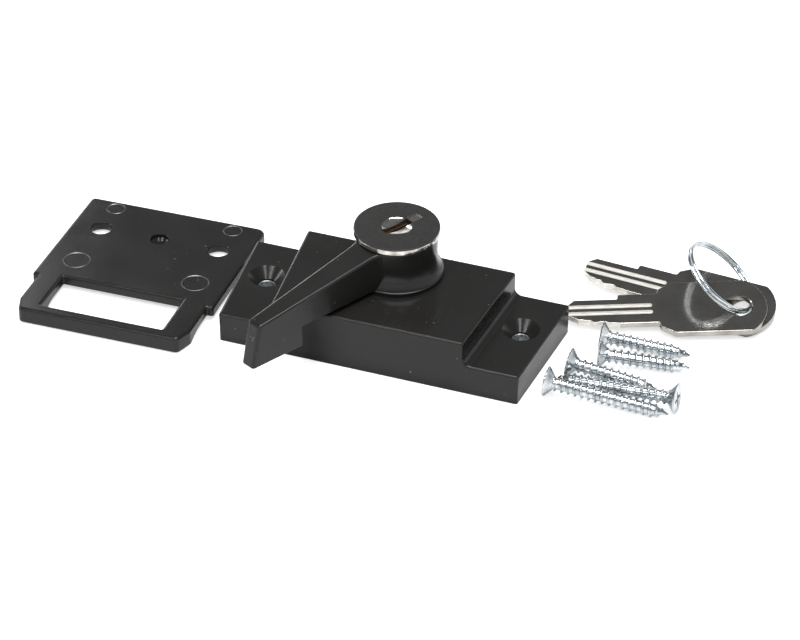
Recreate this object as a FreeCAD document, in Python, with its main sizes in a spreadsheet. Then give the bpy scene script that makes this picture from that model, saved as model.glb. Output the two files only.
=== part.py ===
import FreeCAD, Part
import math
import os
import re
import Sketcher

# Cooler door lock: a cast base with a turning lever, a keyed cylinder in the lever's hub,
# a strike plate, two keys on a split ring, and five countersunk screws.
# Millimetres. Origin: midway between the two ear holes, on the mounting face. X along the base, Z out of the door.

V = FreeCAD.Vector
UP = V(0, 0, 1)

SIZES = {
    # base casting
    "base_length": 98.9, "base_width": 40.4, "ear_height": 9.9,
    "block_length": 64.3, "block_height": 17.9, "end_flare": 1.84,
    "base_wall": 2.6, "top_wall": 3.0, "ear_roof": 2.6, "rib_thickness": 2.0, "rib_spacing": 17.0,
    "foot_fillet": 2.5, "edge_round": 0.8, "cavity_wall": 3.0, "rib_lap": 1.1, "boss_step": 1.0,
    "ear_hole_spacing": 82.4, "ear_hole_forward": 3.1, "ear_hole_radius": 2.7,
    "ear_sink_radius": 5.7, "ear_sink_low_radius": 2.2, "ear_boss_radius": 6.6,
    # hub axis and bearing
    "hub_x": -0.5, "hub_y": 8.7, "hub_bulge_radius": 14.6,
    "collar_radius": 14.4, "collar_height": 0.9,
    "spigot_radius": 10.2, "bearing_gap": 0.06, "bearing_bottom": 5.5, "washer_well_radius": 13.4,
    "stop_pin_radius": 0.7, "stop_pin_circle": 11.8, "stop_pin_angle": 32.9, "stop_pin_length": 7.0,
    "stop_slot_depth": 1.4, "stop_slot_half": 0.9, "stop_slot_end": 3.9, "stop_pin_gap": 0.2,
    # lever
    "lever_angle": -117.1, "closed_turn": 27.1, "open_turn": 62.9,
    "foot_radius": 14.45, "foot_gap": 0.1, "waist_radius": 12.4, "waist_height": 25.5,
    "hub_top": 32.2, "spigot_bottom": 2.2,
    "arm_root_half": 5.4, "arm_tip_half": 2.4, "arm_reach": 60.3, "tip_rake": 3.1, "tip_allowance": 1.7,
    "arm_underside": 19.5, "arm_top_tip": 26.45, "web_reach": 1.9, "web_angle": 34.0, "web_hollow": 0.5,
    "finger_start": 41.6, "finger_bottom": 12.4, "tip_corner": 1.0,
    # cylinder
    "barrel_radius": 8.4, "barrel_bottom": 11.3, "plug_radius": 6.6, "plug_gap": 0.06,
    "disc_radius": 13.2, "disc_bottom": 32.3, "disc_thickness": 2.1, "disc_chamfer": 0.5,
    "dish_radius": 4.6, "dish_floor_radius": 3.5, "dish_depth": 0.9,
    "panel_width": 3.2, "panel_reach": 9.0, "panel_depth": 0.35,
    "keyway_angle": 59.0, "keyway_length": 10.2, "keyway_width": 2.4, "keyway_bottom": 17.4,
    "wafer_thickness": 0.9, "wafer_width": 4.2, "wafer_half": 6.2, "wafer_pitch": 2.3, "first_wafer": 20.6,
    "wafer_gap": 0.1, "wafer_travel": 0.8, "wafer_groove_depth": 1.1,
    "wafer_window_width": 2.6, "wafer_window_length": 8.6,
    "lug_width": 1.2, "lug_length": 0.9, "pocket_half": 2.2,
    "spring_radius": 0.45, "spring_wall": 0.15,
    "tang_half": 2.5, "tang_length": 1.0, "cam_radius": 7.6, "cam_bottom": 9.2,
    "cam_pin_radius": 0.9, "cam_throw": 1.13, "cam_pin_bottom": 6.7,
    "bolt_bottom": 6.4, "bolt_top": 8.8, "bolt_body_half": 2.8, "bolt_body_back": 7.4, "bolt_body_front": 5.7,
    "bolt_nose_half": 1.2, "bolt_nose_reach": 10.05, "bolt_gap": 0.15, "bolt_slot_half": 1.05,
    "bolt_slot_length": 2.7, "bolt_slot_y": 0.95, "bolt_nose_round": 0.2, "bolt_pocket_radius": 11.9,
    "bolt_pocket_half_angle": 8.5, "bolt_tooth_angle": 11.0,
    "bolt_ring_low": 6.2, "bolt_ring_high": 9.0,
    "keeper_bottom": 5.0, "keeper_top": 6.2,
    "clip_bottom": 10.3, "clip_thickness": 0.9, "clip_depth": 0.65, "clip_inner_radius": 7.9,
    "barrel_pin_radius": 1.0, "barrel_pin_length": 6.0,
    # parts under the bearing
    "washer_thickness": 0.8, "washer_outer": 13.1, "washer_inner": 10.4,
    "wave_rise": 0.45, "wave_thickness": 0.35,
    "snap_ring_thickness": 1.0, "snap_ring_outer": 12.3, "snap_groove_radius": 9.5, "snap_ring_top": 3.9,
    "snap_ring_angle": 300.0, "ring_seat_gap": 0.05,
    # strike plate
    "plate_width": 60.6, "plate_depth": 47.5, "plate_thickness": 3.2,
    "loop_width": 56.4, "loop_depth": 66.8, "loop_corner": 2.0, "loop_corner_depth": 61.0,
    "bar_height": 5.2, "bar_width": 3.7, "arm_slope_start": 54.0,
    "window_width": 40.2, "window_back": 46.0,
    "strike_hole_spacing": 40.2, "strike_hole_back": 16.7, "strike_hole_radius": 3.45,
    "strike_sink_radius": 5.2, "middle_hole_radius": 3.05, "middle_hole_depth": 2.2,
    "mark_depth": 0.15, "back_mark_radius": 3.0, "back_mark_back": 4.4,
    "front_mark_radius": 4.3, "front_mark_back": 36.4,
    "plate_corner": 1.8, "plate_edge": 0.5, "window_shift": 0.3, "under_sag": 0.35,
    "tab_left": 2.3, "tab_right": 6.3, "tab_bulge": 1.1, "tab_height": 1.6,
    "strike_gap": 5.0, "strike_y": 35.0, "strike_turn": 1.5,
    # keys
    "key_thickness": 2.0, "key_hole_radius": 4.4, "bow_half": 11.0, "bow_front": 24.1,
    "bow_corner": 4.1, "bow_shoulder": 8.0, "bow_side_end": -3.5, "bow_end": -9.0,
    "shoulder_half": 6.3, "shoulder_end": 36.5, "blade_half": 4.4, "blade_end": 52.3, "blade_point": 2.2,
    "cut_pitch": 2.3, "cut_half": 0.55, "first_cut": 39.4, "groove_width": 1.1, "groove_depth": 0.4,
    "upper_groove": 1.6, "lower_groove": 1.3, "groove_end": 27.5,
    "first_level": 6.0, "second_level": 5.3, "third_level": 5.6, "fourth_level": 4.7, "fifth_level": 4.3,
    "stack_tilt": 8.28, "stack_axis": 10.0, "rear_key_turn": 177.5, "front_key_turn": 200.8,
    "rear_hole_aside": 50.99, "rear_hole_y": 45.74, "rear_hole_z": 2.86,
    "front_hole_aside": 48.84, "front_hole_y": 43.10, "front_hole_z": 4.68,
    # split ring
    "ring_radius": 12.9, "ring_wire": 0.55, "ring_pitch": 1.2, "ring_aside": 41.41, "ring_y": 50.57, "ring_z": 9.27,
    "ring_lean": 39.2, "ring_heading": 13.5, "ring_jog": 24.0, "ring_turn": 0.0,
    # screws
    "screw_head_radius": 4.6, "screw_head_height": 2.6, "screw_core_radius": 1.75, "thread_radius": 2.4,
    "thread_pitch": 2.1, "screw_point": 4.5, "short_screw": 28.0, "long_screw": 38.1,
    "recess_half": 0.55, "recess_reach": 2.5, "recess_depth": 1.8, "head_rim": 0.4, "head_chamfer": 0.2,
    "screw_neck": 0.6, "floor_gap": 0.01,
}

doc = FreeCAD.newDocument("DoorLock")
sheet = doc.addObject("Spreadsheet::Sheet", "Sizes")
for row, (alias, number) in enumerate(SIZES.items(), start=1):
    sheet.set(f"A{row}", alias)
    sheet.set(f"B{row}", str(number))
    sheet.setAlias(f"B{row}", alias)
doc.recompute()

SUB_PARTS = {}


def bound(expression):
    """The expression with each size's name pointing at its cell."""
    return re.sub(r"[a-z_]+", lambda word: "Sizes." + word[0] if word[0] in SIZES else word[0], expression)


def value(expression):
    """What an expression of sizes comes to, as a number."""
    return float(sheet.evalExpression(bound(expression)))


def bind(thing, **expressions):
    """Tie an object's properties to expressions of sizes."""
    for name, expression in expressions.items():
        thing.setExpression(name.replace("__", "."), bound(expression))
    return thing


def sub_part(label, thing, base=V(0, 0, 0), rotation=FreeCAD.Rotation()):
    """Name a finished piece and set it in its place, measured from the middle of the base casting."""
    thing.Label = label
    thing.Placement = FreeCAD.Placement(base - V(0, value("ear_hole_forward"), 0), rotation)
    SUB_PARTS[label] = thing
    return thing


# Part primitives whose sizes and places are expressions

def primitive(kind, name, at, **expressions):
    thing = doc.addObject("Part::" + kind, name)
    bind(thing, **expressions)
    for axis, expression in zip("xyz", at):
        thing.setExpression("Placement.Base." + axis, bound(expression))
    return thing


def box(name, width, depth, height, at):
    """A box centred on x and y, standing on z."""
    x, y, z = at
    corner = (f"{x} - ({width})/2", f"{y} - ({depth})/2", z)
    return primitive("Box", name, corner, Length=width, Width=depth, Height=height)


def cylinder(name, radius, height, z, x="0", y="0", start=None, span=None):
    thing = primitive("Cylinder", name, (x, y, z), Radius=radius, Height=height)
    if span:
        bind(thing, Angle=span, Placement__Rotation__Angle=start)
    return thing


def cone(name, low_radius, high_radius, height, z, x="0", y="0"):
    return primitive("Cone", name, (x, y, z), Radius1=low_radius, Radius2=high_radius, Height=height)


def fused(name, pieces):
    thing = doc.addObject("Part::MultiFuse", name)
    thing.Shapes = pieces
    return thing


def cut(name, base, tools):
    thing = doc.addObject("Part::Cut", name)
    thing.Base = base
    thing.Tool = tools[0] if len(tools) == 1 else fused(name + "_tools", tools)
    return thing


# Bodies built from sketches

def new_body(name):
    return doc.addObject("PartDesign::Body", name)


def sketch(body, plane, name, offset="0"):
    """A sketch on one of the body's own origin planes, lifted by an offset."""
    thing = body.newObject("Sketcher::SketchObject", name)
    origin_plane = next(part for part in body.Origin.OriginFeatures if part.Role == plane)
    thing.AttachmentSupport = [(origin_plane, "")]
    thing.MapMode = "FlatFace"
    thing.setExpression("AttachmentOffset.Base.z", bound(offset))
    return thing


def pin_point(thing, edge, end, x, y):
    """Hold one end of a sketch edge at two expressions of sizes."""
    for kind, expression in (("DistanceX", x), ("DistanceY", y)):
        constraint = Sketcher.Constraint(kind, -1, 1, edge, end, value(expression))
        index = thing.addConstraint(constraint)
        thing.setExpression(f"Constraints[{index}]", bound(expression))


def outline(thing, corners, arcs=None):
    """A closed outline. arcs gives, for an edge's number, how far the edge bulges out to its right."""
    arcs = arcs or {}
    first = thing.GeometryCount
    points = [V(value(x), value(y), 0) for x, y in corners]
    count = len(points)
    reversed_edges = []
    for index, start in enumerate(points):
        end = points[(index + 1) % count]
        if index in arcs:
            chord = end - start
            aside = V(chord.y, -chord.x, 0).normalize() * value(arcs[index])
            middle = (start + end) * 0.5 + aside
            thing.addGeometry(Part.Arc(start, middle, end), False)
            if thing.getPoint(first + index, 1).distanceToPoint(start) > 1e-6:
                reversed_edges.append(index)
        else:
            thing.addGeometry(Part.LineSegment(start, end), False)
    for index, (x, y) in enumerate(corners):
        start_end = 2 if index in reversed_edges else 1
        before = (index - 1) % count
        before_end = 1 if before in reversed_edges else 2
        thing.addConstraint(Sketcher.Constraint("Coincident", first + before, before_end,
                                                first + index, start_end))
        pin_point(thing, first + index, start_end, x, y)
    for index, bulge in arcs.items():
        x0, y0 = corners[index]
        x1, y1 = corners[(index + 1) % count]
        half = f"sqrt((({x1}) - ({x0}))^2 + (({y1}) - ({y0}))^2)/2"
        radius = f"(({half})^2 + ({bulge})^2)/(2*({bulge}))"
        number = thing.addConstraint(Sketcher.Constraint("Radius", first + index, abs(value(radius))))
        thing.setExpression(f"Constraints[{number}]", "abs(" + bound(radius) + ")")
    return thing


def circle(thing, x, y, radius):
    index = thing.addGeometry(Part.Circle(V(value(x), value(y), 0), UP, value(radius)), False)
    pin_point(thing, index, 3, x, y)
    number = thing.addConstraint(Sketcher.Constraint("Radius", index, value(radius)))
    thing.setExpression(f"Constraints[{number}]", bound(radius))
    return thing


def rectangle(thing, x0, y0, x1, y1):
    return outline(thing, [(x0, y0), (x1, y0), (x1, y1), (x0, y1)])


def pad(body, name, profile, length, reverse=False, midplane=False):
    thing = body.newObject("PartDesign::Pad", name)
    thing.Profile = profile
    thing.Reversed = reverse
    thing.Midplane = midplane
    bind(thing, Length=length)
    return thing


def pocket(body, name, profile, length=None, reverse=False, midplane=False):
    """A pocket; with no length it goes through everything."""
    thing = body.newObject("PartDesign::Pocket", name)
    thing.Profile = profile
    thing.Reversed = reverse
    thing.Midplane = midplane
    if length:
        bind(thing, Length=length)
    else:
        thing.Type = "ThroughAll"
    return thing


def revolution(body, name, profile, groove=False):
    thing = body.newObject("PartDesign::Groove" if groove else "PartDesign::Revolution", name)
    thing.Profile = profile
    thing.ReferenceAxis = (profile, ["V_Axis"])
    thing.Angle = 360
    return thing


def edge_names(feature, wanted):
    """Names of the feature's edges whose two end points pass a test."""
    names = []
    for index, edge in enumerate(feature.Shape.Edges, start=1):
        ends = [vertex.Point for vertex in edge.Vertexes]
        if len(ends) == 2 and wanted(ends[0], ends[1]):
            names.append(f"Edge{index}")
    return names


def fillet(body, name, feature, radius, wanted):
    doc.recompute()
    thing = body.newObject("PartDesign::Fillet", name)
    thing.Base = (feature, edge_names(feature, wanted))
    bind(thing, Radius=radius)
    doc.recompute()
    return thing


def turned(name, corners, arcs=None):
    """A body turned about Z from an outline of radius and height."""
    body = new_body(name)
    revolution(body, name + "_turn", outline(sketch(body, "XZ_Plane", name + "_profile"), corners, arcs))
    return body


def round_bar(name, radius, length, z, x="0", y="0"):
    """A body that is one upright round bar."""
    body = new_body(name)
    pad(body, name + "_length", circle(sketch(body, "XY_Plane", name + "_circle", z), x, y, radius), length)
    return body


def both(first, second, test):
    return test(first) and test(second)


# Base casting: two ears, a raised block, a bearing for the lever, hollow beneath

base = new_body("base_casting")


def flared_outline(thing, length, width, inset="0"):
    """A block's outline: its back edge is longer than its front edge by the end flare."""
    half = f"(({length})/2 - ({inset}))"
    side = f"(({width})/2 - ({inset}))"
    return outline(thing, [(f"-({half} - end_flare)", f"-{side}"), (f"{half} - end_flare", f"-{side}"),
                           (f"{half} + end_flare", side), (f"-({half} + end_flare)", side)])


def at_height(height):
    return lambda point: abs(point.z - height) < 0.02


ears = pad(base, "ears", flared_outline(sketch(base, "XY_Plane", "ear_outline"), "base_length", "base_width"),
           "ear_height")
block = pad(base, "block", flared_outline(sketch(base, "XY_Plane", "block_outline"), "block_length", "base_width"),
            "block_height")
doc.recompute()
ear_top = value("ear_height")
half_block = value("block_length/2")
half_width = value("base_width/2")
foot_size = value("foot_fillet + edge_round")
foot_round = fillet(base, "foot_round", block, "foot_fillet",
                    lambda a, b: both(a, b, at_height(ear_top)) and abs(a.y - b.y) > half_width
                    and both(a, b, lambda p: abs(p.x) < half_block + foot_size))


def at_foot(a, b):
    """Whether an edge runs front to back along the foot of the block."""
    return (abs(a.y - b.y) > half_width and max(a.z, b.z) < ear_top + foot_size
            and max(abs(a.x), abs(b.x)) < half_block + 2*foot_size)


edges_round = fillet(base, "edges_round", foot_round, "edge_round",
                     lambda a, b: max(a.z, b.z) > 0.1 and not at_foot(a, b))

block_cavity = pocket(base, "block_cavity",
                      flared_outline(sketch(base, "XY_Plane", "block_cavity_outline"),
                                     "block_length", "base_width", inset="base_wall"),
                      "block_height - top_wall", reverse=True)
ear_cavity_sketch = sketch(base, "XY_Plane", "ear_cavity_outline")
for side in ("-", ""):
    rectangle(ear_cavity_sketch, f"{side}(block_length/2 + cavity_wall/2)", "-(base_width/2 - base_wall)",
              f"{side}(base_length/2 - base_wall - end_flare)", "base_width/2 - base_wall")
ear_cavity = pocket(base, "ear_cavity", ear_cavity_sketch, "ear_height - ear_roof", reverse=True)
bearing_boss = pad(base, "bearing_boss",
                   circle(sketch(base, "XY_Plane", "boss_circle"), "hub_x", "hub_y", "hub_bulge_radius"),
                   "block_height")
rib_sketch = sketch(base, "XY_Plane", "rib_outline", offset="base_wall")
for side in ("-", ""):
    rectangle(rib_sketch, f"{side}rib_spacing/2 - rib_thickness/2", "-(base_width/2 - rib_lap)",
              f"{side}rib_spacing/2 + rib_thickness/2", "hub_y - hub_bulge_radius + base_wall")
ribs = pad(base, "ribs", rib_sketch, "block_height - base_wall - top_wall/2")
ear_bosses_sketch = sketch(base, "XY_Plane", "ear_boss_circles")
for side in ("-", ""):
    circle(ear_bosses_sketch, f"{side}ear_hole_spacing/2", "ear_hole_forward", "ear_boss_radius")
ear_bosses = pad(base, "ear_bosses", ear_bosses_sketch, "ear_height - boss_step")
collar = pad(base, "collar",
             circle(sketch(base, "XY_Plane", "collar_circle", offset="block_height - top_wall"),
                    "hub_x", "hub_y", "collar_radius"), "collar_height + top_wall")
bearing_bore = pocket(base, "bearing_bore",
                      circle(sketch(base, "XY_Plane", "bore_circle"), "hub_x", "hub_y",
                             "spigot_radius + bearing_gap"), reverse=True)
washer_well = pocket(base, "washer_well",
                     circle(sketch(base, "XY_Plane", "well_circle"), "hub_x", "hub_y", "washer_well_radius"),
                     "bearing_bottom", reverse=True)
ear_holes_sketch = sketch(base, "XY_Plane", "ear_hole_circles")
for side in ("-", ""):
    circle(ear_holes_sketch, f"{side}ear_hole_spacing/2", "ear_hole_forward", "ear_hole_radius")
ear_holes = pocket(base, "ear_holes", ear_holes_sketch, reverse=True)

ear_sink_depth = "(ear_sink_radius - ear_sink_low_radius)"
ear_sinks = [cone("ear_sink_" + name, "ear_sink_low_radius", "ear_sink_radius", ear_sink_depth,
                  f"ear_height - {ear_sink_depth}",
                  x=f"{side}ear_hole_spacing/2", y="ear_hole_forward")
             for name, side in (("left", "-"), ("right", ""))]

# The bolt runs in a ring inside the bearing; two teeth trap it at the closed and at the open position
closed_angle = "(lever_angle + closed_turn)"
open_angle = "(lever_angle - open_turn)"
ring_spans = [("closed_pocket", f"{closed_angle} - bolt_pocket_half_angle", "2*bolt_pocket_half_angle"),
              ("open_pocket", f"{open_angle} - bolt_pocket_half_angle", "2*bolt_pocket_half_angle"),
              ("free_run", f"{open_angle} + bolt_pocket_half_angle + bolt_tooth_angle",
               "closed_turn + open_turn - 2*bolt_pocket_half_angle - 2*bolt_tooth_angle")]
bolt_ring = [cylinder(name, "bolt_pocket_radius", "bolt_ring_high - bolt_ring_low", "bolt_ring_low",
                      x="hub_x", y="hub_y", start=start, span=span)
             for name, start, span in ring_spans]
stop_pin_place = ("hub_x + stop_pin_circle*cos(stop_pin_angle)", "hub_y + stop_pin_circle*sin(stop_pin_angle)")
stop_pin_low = "block_height + collar_height - stop_pin_length + stop_slot_depth - stop_pin_gap"
stop_pin_hole = cylinder("stop_pin_hole", "stop_pin_radius", "stop_pin_length", stop_pin_low, *stop_pin_place)
sub_part("base_housing", cut("base_cut", base, ear_sinks + bolt_ring + [stop_pin_hole]))
sub_part("lever_stop_pin", round_bar("stop_pin", "stop_pin_radius", "stop_pin_length", stop_pin_low, *stop_pin_place))


# Lever, in its own frame: X along the arm, Z up the hub axis

lever = new_body("lever_body")
foot_bottom = "(block_height + collar_height + foot_gap)"
arm_end = "(arm_reach + tip_allowance)"
tip_top_reach = "(arm_reach - tip_rake)"
arm_outline = [("0", "-arm_root_half"), (arm_end, "-arm_tip_half"), (arm_end, "arm_tip_half"), ("0", "arm_root_half")]
arm = pad(lever, "arm", outline(sketch(lever, "XY_Plane", "arm_outline", "finger_bottom"), arm_outline),
          "hub_top - finger_bottom")
side_sketch = sketch(lever, "XZ_Plane", "arm_side")
clear_of_arm = "(hub_top + arm_root_half)"
outline(side_sketch, [("-arm_tip_half", "hub_top"), ("waist_radius - tip_allowance", "hub_top"),
                      (tip_top_reach, "arm_top_tip"), ("arm_reach", "finger_bottom"),
                      (f"{arm_end} + arm_root_half", "finger_bottom"), (f"{arm_end} + arm_root_half", clear_of_arm),
                      ("-arm_tip_half", clear_of_arm)])
outline(side_sketch, [("-waist_radius", "finger_bottom - arm_tip_half"),
                      ("finger_start", "finger_bottom - arm_tip_half"),
                      ("finger_start", "arm_underside"), ("-waist_radius", "arm_underside")])
side_cut = pocket(lever, "side_cut", side_sketch, midplane=True)
tip_x = value(tip_top_reach)
tip_top = value("arm_top_tip")
tip_half = value("arm_tip_half")
tip_round = fillet(lever, "tip_round", side_cut, "tip_corner",
                   lambda a, b: abs(a.z - b.z) > tip_half and both(a, b, lambda p: p.x > tip_x - 0.1))
top_round = fillet(lever, "top_round", tip_round, "edge_round - 0.2",
                   lambda a, b: min(a.z, b.z) > tip_top - 0.01 and max(a.x, b.x) > tip_x - tip_half)
hub = pad(lever, "hub", circle(sketch(lever, "XY_Plane", "hub_circle", "arm_underside"), "0", "0", "waist_radius"),
          "hub_top - arm_underside")
blend_x, blend_y = "(waist_radius*cos(web_angle))", "(waist_radius*sin(web_angle))"
web_x = "(waist_radius + web_reach)"
web_y = f"(arm_root_half - (arm_root_half - arm_tip_half)*{web_x}/{arm_end})"
web_sketch = outline(sketch(lever, "XY_Plane", "web_outline", "arm_underside"),
                     [("arm_tip_half", "-" + blend_y), (blend_x, "-" + blend_y), (web_x, "-" + web_y), (web_x, web_y),
                      (blend_x, blend_y), ("arm_tip_half", blend_y)], arcs={1: "-web_hollow", 3: "-web_hollow"})
web = pad(lever, "web", web_sketch, "hub_top - 1 - arm_underside")
foot_step = "(foot_radius - waist_radius)"
foot_rise = f"(waist_height - {foot_bottom})"
foot_curve = f"(({foot_step})^2 + ({foot_rise})^2)/(2*{foot_step})"
foot_sag = f"({foot_curve} - sqrt(({foot_curve})^2 - (({foot_step})^2 + ({foot_rise})^2)/4))"
spigot = revolution(lever, "spigot",
                    outline(sketch(lever, "XZ_Plane", "spigot_profile"),
                            [("barrel_radius - 2", "spigot_bottom"), ("spigot_radius", "spigot_bottom"),
                             ("spigot_radius", foot_bottom), ("foot_radius", foot_bottom),
                             ("waist_radius", "waist_height"), ("barrel_radius - 2", "waist_height")],
                            arcs={3: f"-{foot_sag}"}))
bore_sketch = circle(sketch(lever, "XY_Plane", "barrel_bore_circle"), "0", "0", "barrel_radius")
bore = pocket(lever, "barrel_bore", bore_sketch, midplane=True)
groove_sketch = sketch(lever, "XZ_Plane", "ring_grooves")
outline(groove_sketch, [("snap_groove_radius", "snap_ring_top - snap_ring_thickness - ring_seat_gap"),
                        ("spigot_radius + 1", "snap_ring_top - snap_ring_thickness - ring_seat_gap"),
                        ("spigot_radius + 1", "snap_ring_top + ring_seat_gap"),
                        ("snap_groove_radius", "snap_ring_top + ring_seat_gap")])
outline(groove_sketch, [("barrel_radius - 1", "clip_bottom - ring_seat_gap"),
                        ("barrel_radius + clip_depth", "clip_bottom - ring_seat_gap"),
                        ("barrel_radius + clip_depth", "clip_bottom + clip_thickness + ring_seat_gap"),
                        ("barrel_radius - 1", "clip_bottom + clip_thickness + ring_seat_gap")])
grooves = revolution(lever, "grooves", groove_sketch, groove=True)

bolt_window = box("bolt_window", "spigot_radius", "2*bolt_nose_half + 2*bolt_gap", "bolt_top - bolt_bottom + 0.2",
                  ("spigot_radius/2 + 3", "0", "bolt_bottom - 0.1"))
slot_start = "stop_pin_angle - lever_angle - closed_turn - stop_slot_end"
slot_span = "closed_turn + open_turn + 2*stop_slot_end"
stop_slot = cut("stop_slot",
                cylinder("stop_slot_outer", "stop_pin_circle + stop_slot_half", "stop_slot_depth", foot_bottom,
                         start=slot_start, span=slot_span),
                [cylinder("stop_slot_inner", "stop_pin_circle - stop_slot_half", "stop_slot_depth", foot_bottom)])
barrel_key_groove = cylinder("barrel_pin_groove", "barrel_pin_radius", "barrel_pin_length", "barrel_bottom",
                             x="-barrel_radius")
hub_place = V(value("hub_x"), value("hub_y"), 0)
lever_turned = FreeCAD.Rotation(UP, value("lever_angle"))
plug_turned = FreeCAD.Rotation(UP, value("keyway_angle - 90"))
sub_part("lever_handle", cut("lever_cut", lever, [bolt_window, stop_slot, barrel_key_groove]),
         hub_place, lever_turned)

# Cylinder: a barrel held in the hub, a plug that turns in it, and five sprung wafers

first_low = "(first_wafer - wafer_gap)"
wafer_run = "(4*wafer_pitch + wafer_thickness + 2*wafer_gap)"
barrel_grooves = []
for name, width, depth in (("barrel_groove_x", "2*(plug_radius + wafer_groove_depth)", "wafer_width + 4*wafer_gap"),
                           ("barrel_groove_y", "wafer_width + 4*wafer_gap", "2*(plug_radius + wafer_groove_depth)")):
    barrel_grooves.append(box(name, width, depth, f"{wafer_run} + 1", ("0", "0", f"{first_low} - 0.5")))
pin_turn = "(lever_angle - keyway_angle + 270)"
barrel_pin_seat = cylinder("barrel_pin_seat", "barrel_pin_radius", "barrel_pin_length", "barrel_bottom",
                           x=f"barrel_radius*cos{pin_turn}", y=f"barrel_radius*sin{pin_turn}")
barrel = cut("barrel_cut", cylinder("barrel_blank", "barrel_radius", "hub_top - barrel_bottom", "barrel_bottom"),
             [cylinder("plug_bore", "plug_radius + plug_gap", "hub_top - barrel_bottom", "barrel_bottom"),
              barrel_pin_seat] + barrel_grooves)
sub_part("lock_barrel", barrel, hub_place, plug_turned)
sub_part("barrel_pin", round_bar("barrel_pin_bar", "barrel_pin_radius", "barrel_pin_length", "barrel_bottom",
                                 x="-barrel_radius"), hub_place, lever_turned)

wafer_heights = [f"(first_wafer + {number}*wafer_pitch)" for number in range(5)]
plug_tools = [box("keyway", "keyway_width", "keyway_length", "disc_bottom - keyway_bottom",
                  ("0", "0", "keyway_bottom"))]
lug_end = "(wafer_width/2 + lug_width)"
for number, height in enumerate(wafer_heights, start=1):
    slot_low = f"{height} - wafer_gap"
    plug_tools.append(box(f"wafer_slot_{number}", "wafer_width + 2*wafer_gap", "2*plug_radius + 1",
                          "wafer_thickness + 2*wafer_gap", ("0", "0", slot_low)))
    plug_tools.append(box(f"spring_pocket_{number}", "lug_width + 2*wafer_gap", "2*pocket_half",
                          "wafer_thickness + 2*wafer_gap",
                          ("wafer_width/2 + lug_width/2 + wafer_gap", "0", slot_low)))
plug_round = cylinder("plug_round", "plug_radius", "disc_bottom - barrel_bottom", "barrel_bottom")
plug_tang = box("plug_tang", "2*tang_half", "2*tang_half", "2*tang_length", ("0", "0", "barrel_bottom - tang_length"))
plug_blank = fused("plug_blank", [plug_round, plug_tang])
sub_part("cylinder_plug", cut("plug_cut", plug_blank, plug_tools), hub_place, plug_turned)

for number, height in enumerate(wafer_heights, start=1):
    blank = fused(f"wafer_blank_{number}",
                  [box(f"wafer_plate_{number}", "wafer_width", "2*wafer_half", "wafer_thickness", ("0", "0", height)),
                   box(f"wafer_lug_{number}", "lug_width + 0.4", "lug_length", "wafer_thickness",
                       ("wafer_width/2 + lug_width/2 - 0.2", "0.2 + lug_length/2", height))])
    window = box(f"wafer_window_{number}", "wafer_window_width", "wafer_window_length", "wafer_thickness",
                 ("0", "0", height))
    sub_part(f"tumbler_{number}", cut(f"wafer_cut_{number}", blank, [window]), hub_place, plug_turned)
    sleeve = new_body(f"spring_sleeve_{number}")
    sleeve_sketch = sketch(sleeve, "XZ_Plane", f"spring_ends_{number}", "-0.15")
    middle = f"{height} + wafer_thickness/2"
    circle(sleeve_sketch, "wafer_width/2 + lug_width/2", middle, "spring_radius")
    circle(sleeve_sketch, "wafer_width/2 + lug_width/2", middle, "spring_radius - spring_wall")
    pad(sleeve, f"spring_length_{number}", sleeve_sketch, "pocket_half - 0.1")
    sub_part(f"tumbler_spring_{number}", sleeve, hub_place, plug_turned)

disc = turned("disc", [("0", "disc_bottom"), ("disc_radius", "disc_bottom"),
                       ("disc_radius", "disc_bottom + disc_thickness - disc_chamfer"),
                       ("disc_radius - disc_chamfer", "disc_bottom + disc_thickness"),
                       ("dish_radius", "disc_bottom + disc_thickness"),
                       ("dish_floor_radius", "disc_bottom + disc_thickness - dish_depth"),
                       ("0", "disc_bottom + disc_thickness - dish_depth")])
disc_slot = box("disc_slot", "keyway_width + 0.4", "keyway_length", "disc_thickness", ("0", "0", "disc_bottom"))
disc_panel = box("disc_panel", "panel_width", "panel_reach", "panel_depth",
                 ("0", "panel_reach/2", "disc_bottom + disc_thickness - panel_depth"))
sub_part("face_disc", cut("disc_cut", disc, [disc_slot, disc_panel]), hub_place, plug_turned)

cam_angle = "(lever_angle + 135 - keyway_angle + 90)"
cam_blank = fused("cam_blank", [cylinder("cam_round", "cam_radius", "barrel_bottom - 0.1 - cam_bottom", "cam_bottom"),
                                cylinder("cam_pin", "cam_pin_radius", "cam_bottom + 1 - cam_pin_bottom",
                                         "cam_pin_bottom", x=f"cam_throw*cos{cam_angle}",
                                         y=f"cam_throw*sin{cam_angle}")])
cam_recess = box("cam_recess", "2*tang_half", "2*tang_half", "tang_length + 0.2",
                 ("0", "0", "barrel_bottom - tang_length"))
sub_part("plug_cam", cut("cam_cut", cam_blank, [cam_recess]), hub_place, plug_turned)

# Bolt: a sliding plate with a nose, driven by the cam's pin in its cross slot

bolt = new_body("bolt_body")
nose_end = "(bolt_nose_reach - bolt_nose_round*1.5)"
bolt_outline = [("-bolt_body_back", "-bolt_body_half"), ("bolt_body_front", "-bolt_body_half"),
                ("bolt_body_front", "-bolt_nose_half"), (nose_end, "-bolt_nose_half"),
                (nose_end, "bolt_nose_half"), ("bolt_body_front", "bolt_nose_half"),
                ("bolt_body_front", "bolt_body_half"), ("-bolt_body_back", "bolt_body_half")]
bolt_sketch = outline(sketch(bolt, "XY_Plane", "bolt_outline", "bolt_bottom"), bolt_outline,
                      arcs={3: "bolt_nose_round"})
cam_x = "(cam_throw*cos(135))"
rectangle(bolt_sketch, f"{cam_x} - bolt_slot_half", "bolt_slot_y - bolt_slot_length/2",
          f"{cam_x} + bolt_slot_half", "bolt_slot_y + bolt_slot_length/2")
pad(bolt, "bolt_plate", bolt_sketch, "bolt_top - bolt_bottom")
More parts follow.
